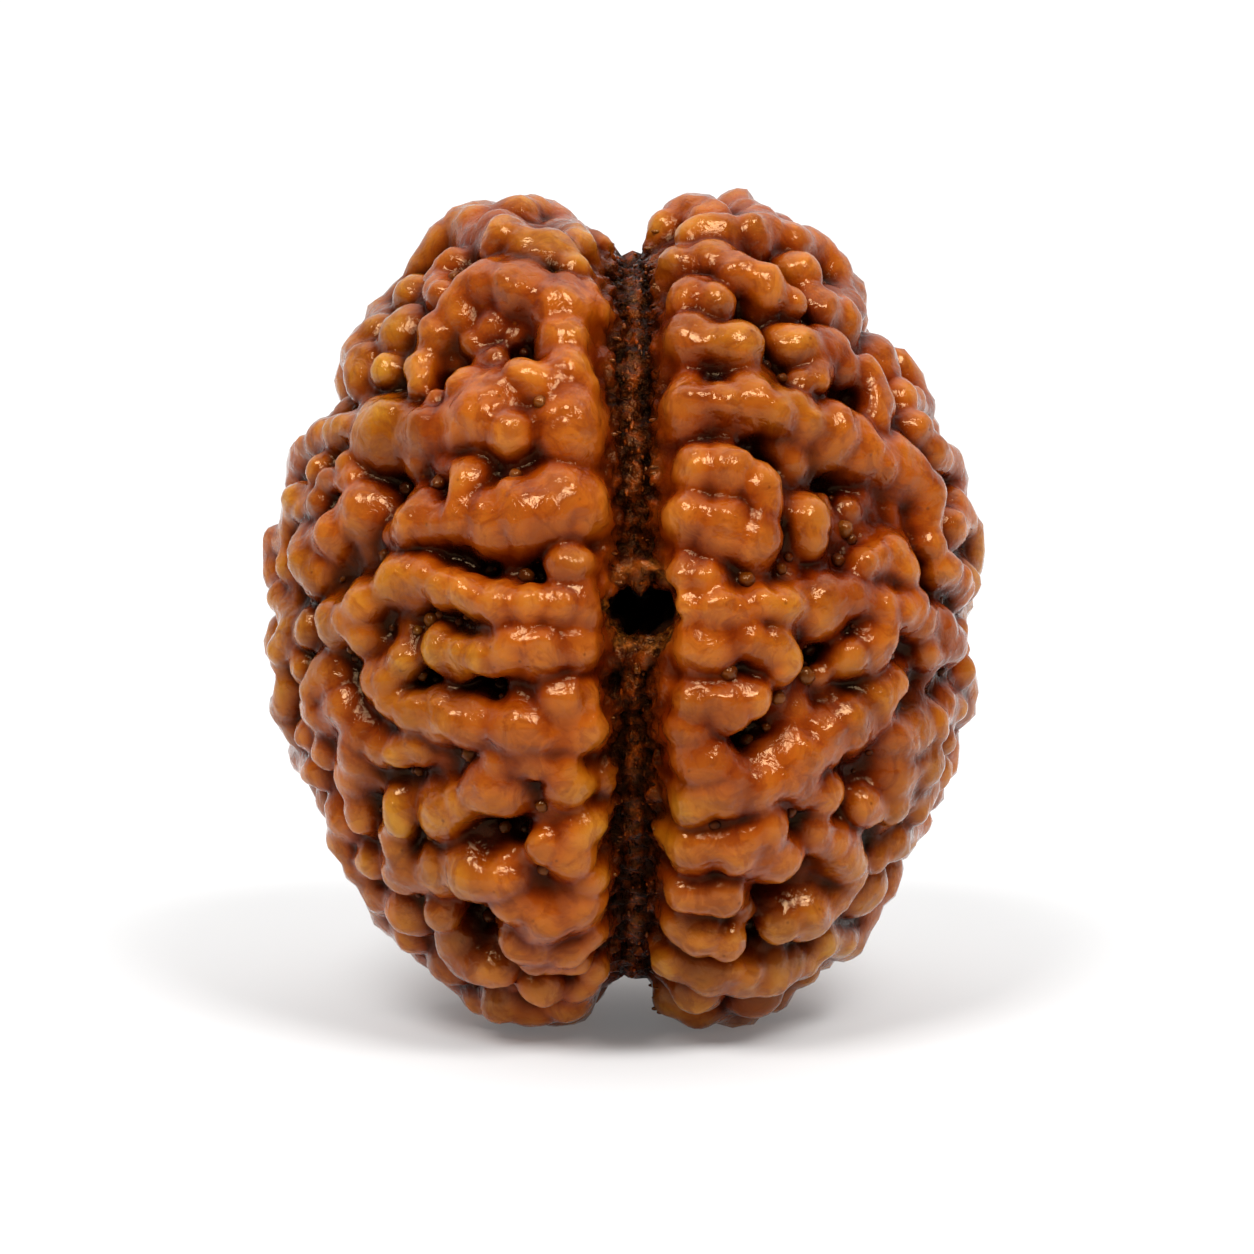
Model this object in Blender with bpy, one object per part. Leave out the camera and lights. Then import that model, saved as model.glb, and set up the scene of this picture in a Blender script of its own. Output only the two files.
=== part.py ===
"""A two-faced rudraksha bead: one grown stone with knobbly ridges, two seams and a bore.

The bead is made in its own frame first: X across, Y from front to back with the mouth that
is looked into at -Y, Z up along the seams. It is then leaned back on its lower knobs, as
it rests on a table, and stood on Z = 0.
"""
import math
import random

import bmesh
import bpy
import numpy as np
from mathutils import Matrix, Vector

# Driving dimensions, in metres
HALF_WIDTH = 0.01026
HALF_DEPTH = 0.0098
HALF_HEIGHT = 0.0121
RELIEF = 0.00145
BORE_DIAMETER = 0.0019
BORE_X = 0.0005
BORE_Z = -0.00015
BORE_RISE = math.radians(9.0)
LEAN_BACK = math.radians(10.0)
FOOT_CUT = 0.00022

# Bulges and dents of the outline, as seen from in front: (x, z, rise, spread), in millimetres
# apart from the spread, which is an angle in radians. They reach further from front to back.
BULGES = (
    (-4.9, 11.2, 0.35, 0.12),
    (-2.2, 12.0, -0.35, 0.1),
    (-1.5, 11.3, -0.5, 0.06),
    (1.4, 11.0, 0.4, 0.05),
    (5.9, 10.4, 0.35, 0.08),
    (-8.5, 6.0, -0.9, 0.075),
    (7.4, 8.0, -0.85, 0.06),
    (9.1, 4.5, 0.15, 0.05),
    (9.9, 1.9, 0.25, 0.08),
    (9.9, -0.3, -0.5, 0.06),
    (-9.9, 1.6, 0.2, 0.07),
    (-10.0, -2.5, 0.2, 0.1),
    (-8.9, -5.6, -0.5, 0.05),
    (-6.4, -9.6, 0.2, 0.1),
    (6.5, -9.8, 0.45, 0.08),
    (0.3, -11.0, 0.35, 0.08),
)
BULGE_REACH = 3.0

# The two lobes swell beside the seams, which run round the bead from mouth to mouth
SEAM_X = 0.00035
SEAM_HALF_WIDTH = 0.0009
LOBE_SWELL = 0.042
LOBE_ANGLE = 0.30
LOBE_SPREAD = 0.17
SEAM_DIP = 0.085
SEAM_SPREAD_LEFT = 0.17
SEAM_SPREAD_RIGHT = 0.11
SEAM_CREST_RADIUS = 0.00034
SEAM_CREST_SINK = 0.00095
SEAM_LUMPS = (0.75, 1.25)

# The low walls beside the seams, which tie the blunt ends of the ridges together
BANK_RADIUS = 0.00042
BANK_SINK = 0.00095
BANK_LUMPS = (0.85, 1.15)

# How the ridges are laid out
MM = 0.001
EYE_DISTANCE = 0.26
FULL_RADIUS = 0.00065
THIN_SINK = 0.7
MIDDLE_Y = -0.000001
NEAREST_Y = -1.2 * HALF_DEPTH
HALVINGS = 40
BALL_STEP = 0.3
NECK_SHARE = 0.88
DOME_SHARE = 0.96

# The far face is the near one turned head over heels, each ridge a little moved and swollen
RIM_EDGE = -0.0012
BACK_SHIFT = 0.0003
BACK_SWELL = (0.94, 1.08)

# The sides carry scattered knobs, most of them tied to a neighbour by a neck
SIDE_EDGE = 0.0042
SIDE_PLACES = 9000
KNOB_RADII = (0.00095, 0.0008, 0.00066, 0.00054, 0.00044)
KNOB_GAP = 0.00006
KNOB_REACH = 0.0009
NECK_CHANCE = 0.8
SIDE_NECK_SHARE = 0.72
SEED = 27

# How fine the solid is
BALL_LEVEL = 7
BLOCK_ROWS = 1500
SMOOTH_ROUNDS = 2
SMOOTH_SHARE = 0.5
BORE_SEGMENTS = 32
TRIANGLES = 10600

BEAD_COLOUR = (0.33, 0.105, 0.028, 1.0)
BEAD_ROUGHNESS = 0.28

# Ridges of the face, as seen from in front: each is a run of (x, z, radius) in millimetres
# from the middle of the bead. A run of one is a lone knob.
LEFT_TOP = (
    ((-3.1, 11.2, 0.68), (-2.6, 11.2, 0.95), (-2.0, 10.8, 0.77), (-1.4, 10.3, 0.6)),
    ((-4.9, 10.8, 0.95), (-4.25, 10.9, 1.23), (-3.4, 10.4, 0.77), (-2.25, 10.05, 0.8), (-1.5, 9.7, 0.52)),
    ((-4.9, 10.8, 0.95), (-5.5, 10.3, 0.8), (-5.9, 9.6, 0.6), (-6.3, 9.0, 0.68), (-6.75, 8.5, 0.77)),
    ((-6.75, 8.5, 0.77), (-6.9, 7.8, 0.6), (-7.15, 7.15, 0.91), (-7.25, 6.6, 0.77)),
    ((-7.55, 8.1, 0.6), (-7.75, 7.4, 0.6), (-8.0, 6.6, 0.6)),
    ((-5.1, 8.95, 0.44), (-5.4, 9.4, 0.3)),
    ((-5.2, 7.8, 0.77), (-4.55, 8.4, 0.77), (-3.6, 9.05, 1.04), (-3.0, 9.1, 0.77)),
    ((-2.9, 9.1, 0.6), (-1.8, 8.4, 0.95), (-1.65, 7.7, 0.68)),
    ((-1.7, 9.2, 0.37), (-1.1, 9.0, 0.44), (-0.75, 8.5, 0.37)),
    ((-0.75, 10.5, 0.3),),
    ((-5.75, 6.95, 0.52), (-5.8, 6.4, 0.37)),
    ((-4.5, 6.35, 0.57), (-3.9, 6.4, 0.3)),
    ((-5.4, 6.05, 0.3),),
    ((-2.9, 6.7, 0.44), (-2.4, 6.4, 0.6), (-1.6, 6.75, 0.77), (-1.2, 6.4, 0.52)),
    ((-1.6, 5.3, 1.13), (-1.6, 4.9, 0.95)),
    ((-6.6, 5.0, 1.17), (-5.5, 5.05, 0.77), (-4.5, 5.2, 0.77), (-3.6, 5.5, 1.23)),
    ((-3.6, 5.5, 1.23), (-3.2, 4.9, 0.6)),
    ((-7.7, 5.2, 0.37), (-8.5, 4.85, 0.6), (-9.05, 4.2, 0.6), (-9.3, 3.6, 0.52)),
    ((-9.2, 3.1, 0.52), (-8.6, 3.0, 0.37)),
    ((-9.1, 3.0, 0.52), (-9.4, 2.3, 0.52), (-9.8, 1.7, 0.6), (-9.7, 1.1, 0.6)),
    ((-7.85, 4.1, 0.37), (-7.7, 3.7, 0.3), (-8.4, 3.7, 0.3)),
)
LEFT_MIDDLE = (
    ((-7.4, 2.7, 0.86), (-8.0, 2.2, 0.7), (-8.6, 1.6, 0.98), (-8.5, 1.1, 0.82)),
    ((-6.0, 2.4, 0.68), (-5.5, 2.6, 0.84), (-4.6, 2.5, 0.6), (-3.5, 2.5, 1.0), (-2.8, 2.7, 1.05)),
    ((-2.8, 2.7, 1.05), (-1.95, 3.0, 1.15), (-1.4, 2.9, 1.0)),
    ((-4.5, 3.0, 0.45), (-4.4, 3.75, 0.6)),
    ((-1.6, 1.25, 0.62), (-1.35, 0.6, 0.5)),
    ((-6.4, 0.95, 0.6), (-5.6, 0.95, 0.62), (-4.9, 0.6, 0.62), (-4.2, 0.3, 0.58), (-3.5, 0.15, 0.62)),
    ((-3.5, 0.15, 0.62), (-2.7, 0.1, 0.6), (-1.9, 0.1, 0.66), (-1.3, 0.0, 0.62)),
    ((-6.6, 0.7, 0.6), (-7.3, 0.1, 0.7), (-8.0, -0.35, 0.78)),
    ((-7.35, -0.75, 0.62),),
    ((-5.15, -1.1, 0.66), (-4.5, -1.35, 0.56), (-3.9, -1.2, 0.5), (-3.25, -1.1, 0.62)),
    ((-3.25, -1.1, 0.62), (-2.3, -1.1, 0.74), (-1.5, -1.0, 0.74)),
    ((-6.2, -1.5, 0.6), (-6.75, -2.0, 0.76), (-6.5, -2.5, 0.6), (-5.9, -2.9, 0.66), (-5.1, -3.0, 0.76)),
    ((-5.1, -3.0, 0.76), (-4.0, -3.2, 0.7), (-2.8, -3.4, 0.86), (-1.3, -3.35, 0.8)),
    ((-1.75, -2.6, 0.72), (-1.2, -2.5, 0.5)),
    ((-8.15, -1.95, 0.86), (-8.55, -2.8, 0.7), (-7.9, -2.8, 0.6)),
    ((-7.9, -2.8, 0.6), (-7.35, -3.5, 0.6), (-7.4, -4.1, 0.8), (-7.7, -4.6, 0.6)),
    ((-6.9, -3.9, 0.5), (-6.3, -4.0, 0.4), (-5.8, -3.9, 0.45)),
    ((-9.6, 0.4, 0.5), (-9.2, -0.7, 0.8), (-9.5, -1.4, 0.6)),
    ((-9.5, -2.2, 0.5), (-9.45, -2.8, 0.65), (-9.2, -3.5, 0.55)),
    ((-9.1, -4.1, 0.6), (-8.6, -4.6, 0.52)),
)
LEFT_BOTTOM = (
    ((-5.15, -5.75, 0.76), (-4.5, -5.4, 0.62), (-3.5, -5.0, 0.95)),
    ((-3.5, -4.3, 0.5), (-2.5, -4.4, 0.4), (-1.7, -4.5, 0.45)),
    ((-1.55, -5.0, 0.68),),
    ((-1.2, -6.1, 0.66), (-1.6, -6.8, 0.84), (-2.3, -6.75, 0.5)),
    ((-7.8, -5.85, 0.78), (-7.75, -6.5, 0.68), (-7.35, -7.2, 0.66)),
    ((-8.2, -6.6, 0.45), (-8.0, -7.1, 0.4)),
    ((-6.9, -7.9, 0.6), (-6.5, -8.5, 0.76), (-6.0, -9.2, 0.6)),
    ((-5.6, -9.8, 0.6), (-5.1, -10.5, 0.55)),
    ((-6.25, -5.6, 0.6), (-6.4, -6.5, 0.62), (-6.1, -7.3, 0.78), (-5.1, -7.3, 0.82), (-4.2, -7.4, 0.88)),
    ((-4.2, -7.4, 0.88), (-3.4, -7.6, 0.76), (-3.0, -8.3, 0.74), (-2.3, -8.6, 0.88), (-1.45, -8.25, 0.88)),
    ((-1.45, -8.25, 0.88), (-1.1, -7.6, 0.6)),
    ((-3.1, -9.4, 0.45), (-2.4, -9.55, 0.5), (-1.6, -9.55, 0.55), (-1.05, -9.2, 0.5)),
    ((-2.7, -10.0, 0.35), (-2.0, -10.05, 0.4), (-1.3, -10.0, 0.4)),
    ((-5.1, -8.55, 0.58),),
    ((-4.8, -9.3, 0.6), (-4.35, -9.7, 0.85), (-3.7, -10.2, 0.6)),
    ((-4.7, -10.6, 0.6), (-4.1, -10.9, 0.64), (-3.4, -11.1, 0.6)),
    ((-3.4, -11.1, 0.6), (-2.4, -11.3, 0.66), (-1.7, -10.9, 0.84), (-0.9, -10.2, 0.5)),
)
RIGHT_TOP = (
    ((1.3, 10.9, 0.6), (1.75, 11.15, 0.75), (2.4, 11.0, 0.7)),
    ((3.1, 11.25, 0.7), (3.8, 10.95, 0.6), (4.3, 10.9, 0.55)),
    ((2.1, 10.5, 0.65), (2.8, 10.65, 0.7), (3.6, 10.6, 0.72), (4.5, 10.4, 0.72), (5.2, 10.0, 0.85)),
    ((5.2, 10.0, 0.85), (5.8, 9.5, 0.75), (6.15, 8.9, 0.75), (6.05, 8.25, 0.68), (5.5, 8.55, 0.6)),
    ((6.5, 9.2, 0.5), (6.75, 8.6, 0.5)),
    ((1.6, 9.85, 0.6), (2.6, 9.95, 0.65), (3.25, 9.5, 0.65), (4.0, 9.1, 0.65)),
    ((4.0, 9.1, 0.6), (4.7, 8.75, 0.5)),
    ((1.85, 8.8, 0.68), (2.6, 8.7, 0.6)),
    ((1.95, 7.6, 0.82), (3.1, 7.45, 0.82)),
    ((4.65, 7.5, 0.7), (5.5, 7.25, 0.82), (6.1, 6.85, 0.62), (6.8, 6.5, 0.66), (7.1, 5.9, 0.62)),
    ((7.1, 5.9, 0.62), (7.05, 5.35, 0.5)),
    ((5.4, 6.7, 0.6), (5.0, 6.45, 0.42)),
    ((7.6, 6.95, 0.6), (8.15, 6.8, 0.62), (8.25, 6.2, 0.58)),
    ((7.9, 6.0, 0.5), (8.4, 5.75, 0.52)),
    ((1.9, 5.75, 0.8),),
    ((2.7, 5.95, 0.6), (3.5, 5.9, 0.9), (4.2, 5.7, 0.72), (5.0, 5.4, 0.72), (5.75, 4.95, 0.95)),
    ((5.75, 4.95, 0.95), (6.6, 4.5, 0.82), (7.5, 4.1, 0.98), (8.15, 3.3, 0.95), (8.4, 2.6, 0.8)),
    ((8.2, 5.1, 0.6), (8.6, 4.5, 0.6), (9.1, 4.1, 0.55), (9.4, 3.5, 0.55), (9.3, 2.9, 0.58)),
)
RIGHT_MIDDLE = (
    ((2.1, 3.95, 0.72), (2.9, 3.85, 0.82), (3.7, 3.55, 0.72)),
    ((3.95, 3.0, 0.55),),
    ((1.95, 2.65, 0.78), (2.8, 2.3, 0.95), (3.6, 2.05, 0.85)),
    ((5.15, 2.6, 0.66), (5.3, 1.9, 0.45)),
    ((1.75, 0.9, 0.5), (2.3, 0.85, 0.56)),
    ((1.9, 0.1, 0.6), (2.55, 0.05, 0.72), (3.2, -0.05, 0.55)),
    ((2.35, -1.05, 0.86),),
    ((3.5, -0.8, 0.55), (4.1, -1.05, 0.8), (4.4, -1.55, 0.55)),
    ((3.75, 0.2, 0.48), (4.35, 0.1, 0.6), (5.35, 0.1, 1.05)),
    ((6.8, 1.3, 0.5), (7.5, 1.4, 0.7), (7.9, 1.2, 0.55)),
    ((6.3, 0.35, 0.55), (7.2, 0.2, 0.65), (7.9, 0.05, 0.7), (8.3, -0.3, 0.55), (8.9, -0.55, 0.58)),
    ((8.9, -0.55, 0.58), (9.2, -1.0, 0.65), (8.6, -1.15, 0.5)),
    ((7.2, -0.35, 0.6), (6.8, -0.95, 0.88), (6.4, -1.35, 0.6)),
    ((9.3, 2.3, 0.5), (9.7, 2.6, 0.5), (9.85, 1.8, 0.58), (9.75, 1.2, 0.5)),
    ((8.6, 1.85, 0.45), (8.85, 1.2, 0.62), (9.4, 0.6, 0.58)),
    ((7.6, -2.15, 0.5),),
    ((9.5, -1.7, 0.5), (9.65, -2.1, 0.6), (9.45, -2.8, 0.6), (9.0, -2.7, 0.5)),
    ((3.6, -2.55, 0.6), (2.9, -2.75, 0.82), (2.05, -2.65, 0.68), (1.9, -3.4, 0.66), (2.35, -4.3, 0.8)),
    ((2.35, -4.3, 0.8), (2.8, -5.05, 0.88), (2.1, -5.4, 0.78)),
    ((7.0, -2.55, 0.88), (6.25, -3.2, 0.84), (5.5, -3.75, 0.82), (4.75, -4.25, 0.92)),
    ((4.75, -4.25, 0.92), (3.85, -4.95, 0.76), (2.8, -5.05, 0.88)),
)
RIGHT_BOTTOM = (
    ((5.0, -5.0, 0.5), (5.6, -5.2, 0.64)),
    ((8.55, -3.25, 0.68), (7.5, -3.6, 0.72), (7.3, -4.6, 0.92), (8.1, -4.2, 0.9)),
    ((8.1, -4.2, 0.9), (8.1, -5.15, 0.84), (7.4, -5.45, 0.7), (6.7, -5.45, 0.6)),
    ((9.15, -3.9, 0.5), (9.0, -4.4, 0.5)),
    ((8.2, -6.05, 0.6), (7.5, -6.5, 0.62), (7.05, -7.0, 0.5)),
    ((2.0, -6.75, 0.78), (3.1, -6.6, 0.78), (4.25, -6.95, 0.82)),
    ((3.1, -6.6, 0.78), (3.95, -6.1, 0.7)),
    ((5.35, -6.2, 0.5), (6.0, -6.7, 0.82), (6.25, -7.45, 0.72), (5.75, -8.1, 0.74), (5.0, -8.55, 0.86)),
    ((5.0, -8.55, 0.86), (4.4, -9.0, 0.6)),
    ((1.75, -8.0, 0.56), (2.8, -8.1, 0.66)),
    ((1.6, -9.0, 0.52), (2.25, -9.2, 0.68), (3.0, -9.4, 0.56)),
    ((1.4, -10.0, 0.6), (2.5, -10.2, 0.74), (3.3, -10.35, 0.66), (4.0, -10.2, 0.78), (5.0, -9.85, 0.66)),
    ((7.55, -7.65, 0.66), (7.1, -8.2, 0.6), (6.7, -8.6, 0.76), (6.25, -9.4, 0.64), (5.6, -9.4, 0.5)),
    ((1.4, -11.0, 0.6), (2.1, -11.15, 0.76), (3.1, -11.25, 0.78), (4.2, -10.95, 0.62)),
)
FACE_RIDGES = LEFT_TOP + LEFT_MIDDLE + LEFT_BOTTOM + RIGHT_TOP + RIGHT_MIDDLE + RIGHT_BOTTOM

# The low crest in the bottom of the seam: (x, z). On the near face the mouth interrupts it.
SEAM_UP = ((0.45, 1.9), (0.35, 3.4), (0.3, 5.0), (0.1, 6.6), (0.0, 8.2), (-0.1, 9.6))
SEAM_ACROSS = ((0.4, 1.9), (0.45, 0.0), (0.4, -1.9))
SEAM_DOWN = ((0.4, -1.9), (0.4, -3.4), (0.3, -5.0), (0.35, -6.6), (0.3, -8.2), (0.25, -9.6))

# The walls beside the seam, from top to bottom: (x, z)
BANK_LEFT = ((-1.0, 10.5), (-1.1, 8.0), (-1.2, 5.0), (-1.15, 1.6), (-1.15, -1.6), (-1.0, -5.0), (-0.9, -10.4))
BANK_RIGHT = ((1.3, 10.6), (1.35, 8.0), (1.5, 5.0), (1.6, 1.6), (1.6, -1.6), (1.45, -5.0), (1.4, -10.4))


def clear_scene():
    for item in list(bpy.data.objects):
        bpy.data.objects.remove(item, do_unlink=True)


def crest_radius(directions):
    """How far the ridge tops stand from the middle, for rows of unit vectors."""
    halves = np.array((HALF_WIDTH, HALF_DEPTH, HALF_HEIGHT))
    radius = 1.0 / np.linalg.norm(directions / halves, axis=-1)
    offset = SEAM_X / HALF_HEIGHT
    angle = np.arcsin(np.clip(directions[..., 0] - offset, -1.0, 1.0))
    swell = LOBE_SWELL * np.exp(-(((np.abs(angle) - LOBE_ANGLE) / LOBE_SPREAD) ** 2))
    seam_spread = np.where(angle < 0.0, SEAM_SPREAD_LEFT, SEAM_SPREAD_RIGHT)
    dip = SEAM_DIP * np.exp(-((angle / seam_spread) ** 2))
    radius = radius * (1.0 + swell - dip)
    for x, z, rise, spread in BULGES:
        away = directions - np.array((x, 0.0, z)) / math.hypot(x, z)
        aside = away / (spread, spread * BULGE_REACH, spread)
        radius = radius + rise * MM * np.exp(-(aside**2).sum(axis=-1))
    return radius


def depth_of_centre(radius):
    """How far a knob's centre lies below the ridge tops: thin knobs are sunk further."""
    return radius + THIN_SINK * max(0.0, FULL_RADIUS - radius)


def sunk(point, depth):
    """Moves a point towards the middle of the bead."""
    return point * (1.0 - depth / np.linalg.norm(point))


def place_on_face(x_seen, z_seen, radius):
    """Turns a place on the face, as seen from in front, into a point of the bead."""
    depth = depth_of_centre(radius)

    def point_at(y):
        nearer = 1.0 + y / EYE_DISTANCE
        return np.array((x_seen * nearer, y, z_seen * nearer))

    def outside(y):
        point = point_at(y)
        length = np.linalg.norm(point)
        return length - (crest_radius(point / length) - depth)

    if outside(MIDDLE_Y) > 0.0:
        return sunk(point_at(MIDDLE_Y), outside(MIDDLE_Y))
    near = NEAREST_Y
    far = MIDDLE_Y
    for _ in range(HALVINGS):
        middle = 0.5 * (near + far)
        if outside(middle) > 0.0:
            near = middle
        else:
            far = middle
    return point_at(near)


def face_runs():
    """The ridges of the face as runs of (point, radius)."""
    runs = []
    for ridge in FACE_RIDGES:
        run = [(place_on_face(x * MM, z * MM, r * MM), r * MM) for x, z, r in ridge]
        runs.append(run)
    return runs


def back_runs(luck):
    """The far face repeats the near one, turned head over heels and shifted a little."""
    runs = []
    for ridge in FACE_RIDGES:
        side = math.copysign(1.0, ridge[0][0])
        shift_x = side * luck.uniform(0.0, BACK_SHIFT)
        shift_z = luck.uniform(-BACK_SHIFT, BACK_SHIFT)
        swell = luck.uniform(*BACK_SWELL)
        run = []
        for x, z, r in ridge:
            radius = r * MM * swell
            point = place_on_face(x * MM + shift_x, 2.0 * BORE_Z - z * MM + shift_z, radius)
            if point[1] < RIM_EDGE:
                run.append((point * (1.0, -1.0, 1.0), radius))
            elif run:
                runs.append(run)
                run = []
        if run:
            runs.append(run)
    return runs


def line_run(line, flip, radius, lumps, sink, luck):
    """A low lumpy line along the seam, on the near face (flip 1) or the far one (flip -1)."""
    run = []
    for x, z in line:
        lump = radius * luck.uniform(*lumps)
        seen_z = z * MM if flip > 0.0 else 2.0 * BORE_Z - z * MM
        point = sunk(place_on_face(x * MM, seen_z, lump), sink)
        run.append((point * (1.0, flip, 1.0), lump))
    return run


def seam_runs(luck):
    """The crest in the bottom of each seam and the walls beside it, front and back."""
    runs = []
    for flip in (1.0, -1.0):
        crests = (SEAM_UP, SEAM_DOWN) if flip > 0.0 else (SEAM_UP, SEAM_ACROSS, SEAM_DOWN)
        for line in crests:
            runs.append(line_run(line, flip, SEAM_CREST_RADIUS, SEAM_LUMPS, SEAM_CREST_SINK, luck))
        for line in (BANK_LEFT, BANK_RIGHT):
            runs.append(line_run(line, flip, BANK_RADIUS, BANK_LUMPS, BANK_SINK, luck))
    return runs


def balls_along(run):
    """Fills a run with balls, close enough together to read as one ridge with necks."""
    balls = [run[0]]
    for (start, start_radius), (end, end_radius) in zip(run, run[1:]):
        step = BALL_STEP * min(start_radius, end_radius)
        count = max(1, math.ceil(np.linalg.norm(end - start) / step))
        for index in range(1, count):
            share = index / count
            radius = NECK_SHARE * (start_radius + (end_radius - start_radius) * share)
            balls.append((start + (end - start) * share, radius))
        balls.append((end, end_radius))
    return balls


def even_directions(count):
    """Unit vectors spread evenly over a ball by the golden angle."""
    index = np.arange(count) + 0.5
    height = 1.0 - 2.0 * index / count
    turn = index * math.pi * (3.0 - math.sqrt(5.0))
    level = np.sqrt(1.0 - height**2)
    return np.stack((level * np.cos(turn), level * np.sin(turn), height), axis=1)


def side_runs(luck, taken):
    """Knobs on the sides, wherever there is room, and necks that tie them to neighbours."""
    directions = even_directions(SIDE_PLACES)
    order = list(range(SIDE_PLACES))
    luck.shuffle(order)
    centres = np.array([centre for centre, _ in taken])
    radii = np.array([radius for _, radius in taken])
    knobs = []
    for radius in KNOB_RADII:
        for index in order:
            direction = directions[index]
            point = direction * (crest_radius(direction) - depth_of_centre(radius))
            if abs(point[1]) > SIDE_EDGE:
                continue
            if abs(point[0] - SEAM_X) < SEAM_HALF_WIDTH + radius:
                continue
            clear = np.linalg.norm(centres - point, axis=1) - radii - radius
            if clear.min() > KNOB_GAP:
                knobs.append((point, radius))
                centres = np.vstack((centres, point))
                radii = np.append(radii, radius)
    runs = [[knob] for knob in knobs]
    for number, (point, radius) in enumerate(knobs):
        gaps = np.linalg.norm(centres - point, axis=1) - radii - radius
        gaps[len(taken) + number] = np.inf
        nearest = int(np.argmin(gaps))
        if gaps[nearest] < KNOB_REACH and luck.random() < NECK_CHANCE:
            neck = SIDE_NECK_SHARE * min(radius, radii[nearest])
            runs.append([(point, neck), (centres[nearest], neck)])
    return runs


def all_balls():
    """Every ball of every ridge: centres and radii."""
    luck = random.Random(SEED)
    runs = face_runs() + back_runs(luck) + seam_runs(luck)
    taken = [ball for run in runs for ball in balls_along(run)]
    runs += side_runs(luck, taken)
    balls = [ball for run in runs for ball in balls_along(run)]
    centres = np.array([centre for centre, _ in balls])
    radii = np.array([radius for _, radius in balls])
    return centres, radii


def knob_height(aside, radii):
    """How high a ball stands over its centre at a distance aside: a dome, then a steep skirt."""
    shoulder = DOME_SHARE * radii
    dome = np.sqrt(np.maximum(radii**2 - aside**2, 0.0))
    shoulder_height = radii * math.sqrt(1.0 - DOME_SHARE**2)
    slope = DOME_SHARE / math.sqrt(1.0 - DOME_SHARE**2)
    skirt = shoulder_height - slope * (aside - shoulder)
    return np.where(aside < shoulder, dome, skirt)


def raised_radius(directions, centres, radii):
    """The surface: the floor of the crevices, or the top of whichever ball is over it."""
    surface = crest_radius(directions) - RELIEF
    squares = (centres**2).sum(axis=1)
    for first in range(0, len(directions), BLOCK_ROWS):
        block = slice(first, first + BLOCK_ROWS)
        along = directions[block] @ centres.T
        aside = np.sqrt(np.maximum(0.0, squares - along**2))
        top = np.where(along > 0.0, along + knob_height(aside, radii), 0.0)
        surface[block] = np.maximum(surface[block], top.max(axis=1))
    return surface


def bead_material():
    material = bpy.data.materials.new("bead_skin")
    material.use_nodes = True
    shader = material.node_tree.nodes["Principled BSDF"]
    shader.inputs["Base Color"].default_value = BEAD_COLOUR
    shader.inputs["Roughness"].default_value = BEAD_ROUGHNESS
    shader.inputs["Metallic"].default_value = 0.0
    return material


def make_bead():
    """A ball whose points are moved out to the ridges, then thinned to few triangles."""
    shape = bmesh.new()
    bmesh.ops.create_icosphere(shape, subdivisions=BALL_LEVEL, radius=1.0)
    directions = np.array([vertex.co.normalized() for vertex in shape.verts])
    centres, radii = all_balls()
    lengths = raised_radius(directions, centres, radii)
    for vertex, direction, length in zip(shape.verts, directions, lengths):
        vertex.co = direction * length
    for _ in range(SMOOTH_ROUNDS):
        bmesh.ops.smooth_vert(
            shape,
            verts=shape.verts,
            factor=SMOOTH_SHARE,
            use_axis_x=True,
            use_axis_y=True,
            use_axis_z=True,
        )
    mesh = bpy.data.meshes.new("bead")
    shape.to_mesh(mesh)
    shape.free()
    mesh.shade_smooth()
    bead = bpy.data.objects.new("bead", mesh)
    bpy.context.scene.collection.objects.link(bead)
    bead.data.materials.append(bead_material())
    thin = bead.modifiers.new("thin out", "DECIMATE")
    thin.ratio = TRIANGLES / len(mesh.polygons)
    return bead


def make_cutter(name, fill):
    """An object that only cuts: the build and the render leave it out."""
    shape = bmesh.new()
    fill(shape)
    mesh = bpy.data.meshes.new(name)
    shape.to_mesh(mesh)
    shape.free()
    cutter = bpy.data.objects.new(name, mesh)
    bpy.context.scene.collection.objects.link(cutter)
    cutter.hide_render = True
    cutter.display_type = "WIRE"
    return cutter


def fill_bore(shape):
    """A round drill from the near mouth to the far one, rising a little on its way."""
    mouth = Matrix.Translation((BORE_X, -HALF_DEPTH, BORE_Z))
    rise = Matrix.Rotation(BORE_RISE, 4, "X")
    along_y = Matrix.Rotation(math.radians(90.0), 4, "X")
    bmesh.ops.create_cone(
        shape,
        cap_ends=True,
        segments=BORE_SEGMENTS,
        radius1=BORE_DIAMETER / 2.0,
        radius2=BORE_DIAMETER / 2.0,
        depth=6.0 * HALF_DEPTH,
        matrix=mouth @ rise @ along_y,
    )


def fill_table(shape):
    """A slab whose top is at Z = 0 of its own frame."""
    side = 4.0 * HALF_HEIGHT
    bmesh.ops.create_cube(shape, size=side, matrix=Matrix.Translation((0.0, 0.0, -side / 2.0)))


def cut(target, cutter):
    boolean = target.modifiers.new(cutter.name, "BOOLEAN")
    boolean.operation = "DIFFERENCE"
    boolean.solver = "EXACT"
    boolean.object = cutter


def evaluated_points(item):
    """The points of an object with its modifiers, in the world."""
    graph = bpy.context.evaluated_depsgraph_get()
    finished = item.evaluated_get(graph)
    mesh = finished.to_mesh()
    points = np.array([item.matrix_world @ vertex.co for vertex in mesh.vertices])
    finished.to_mesh_clear()
    return points


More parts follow.
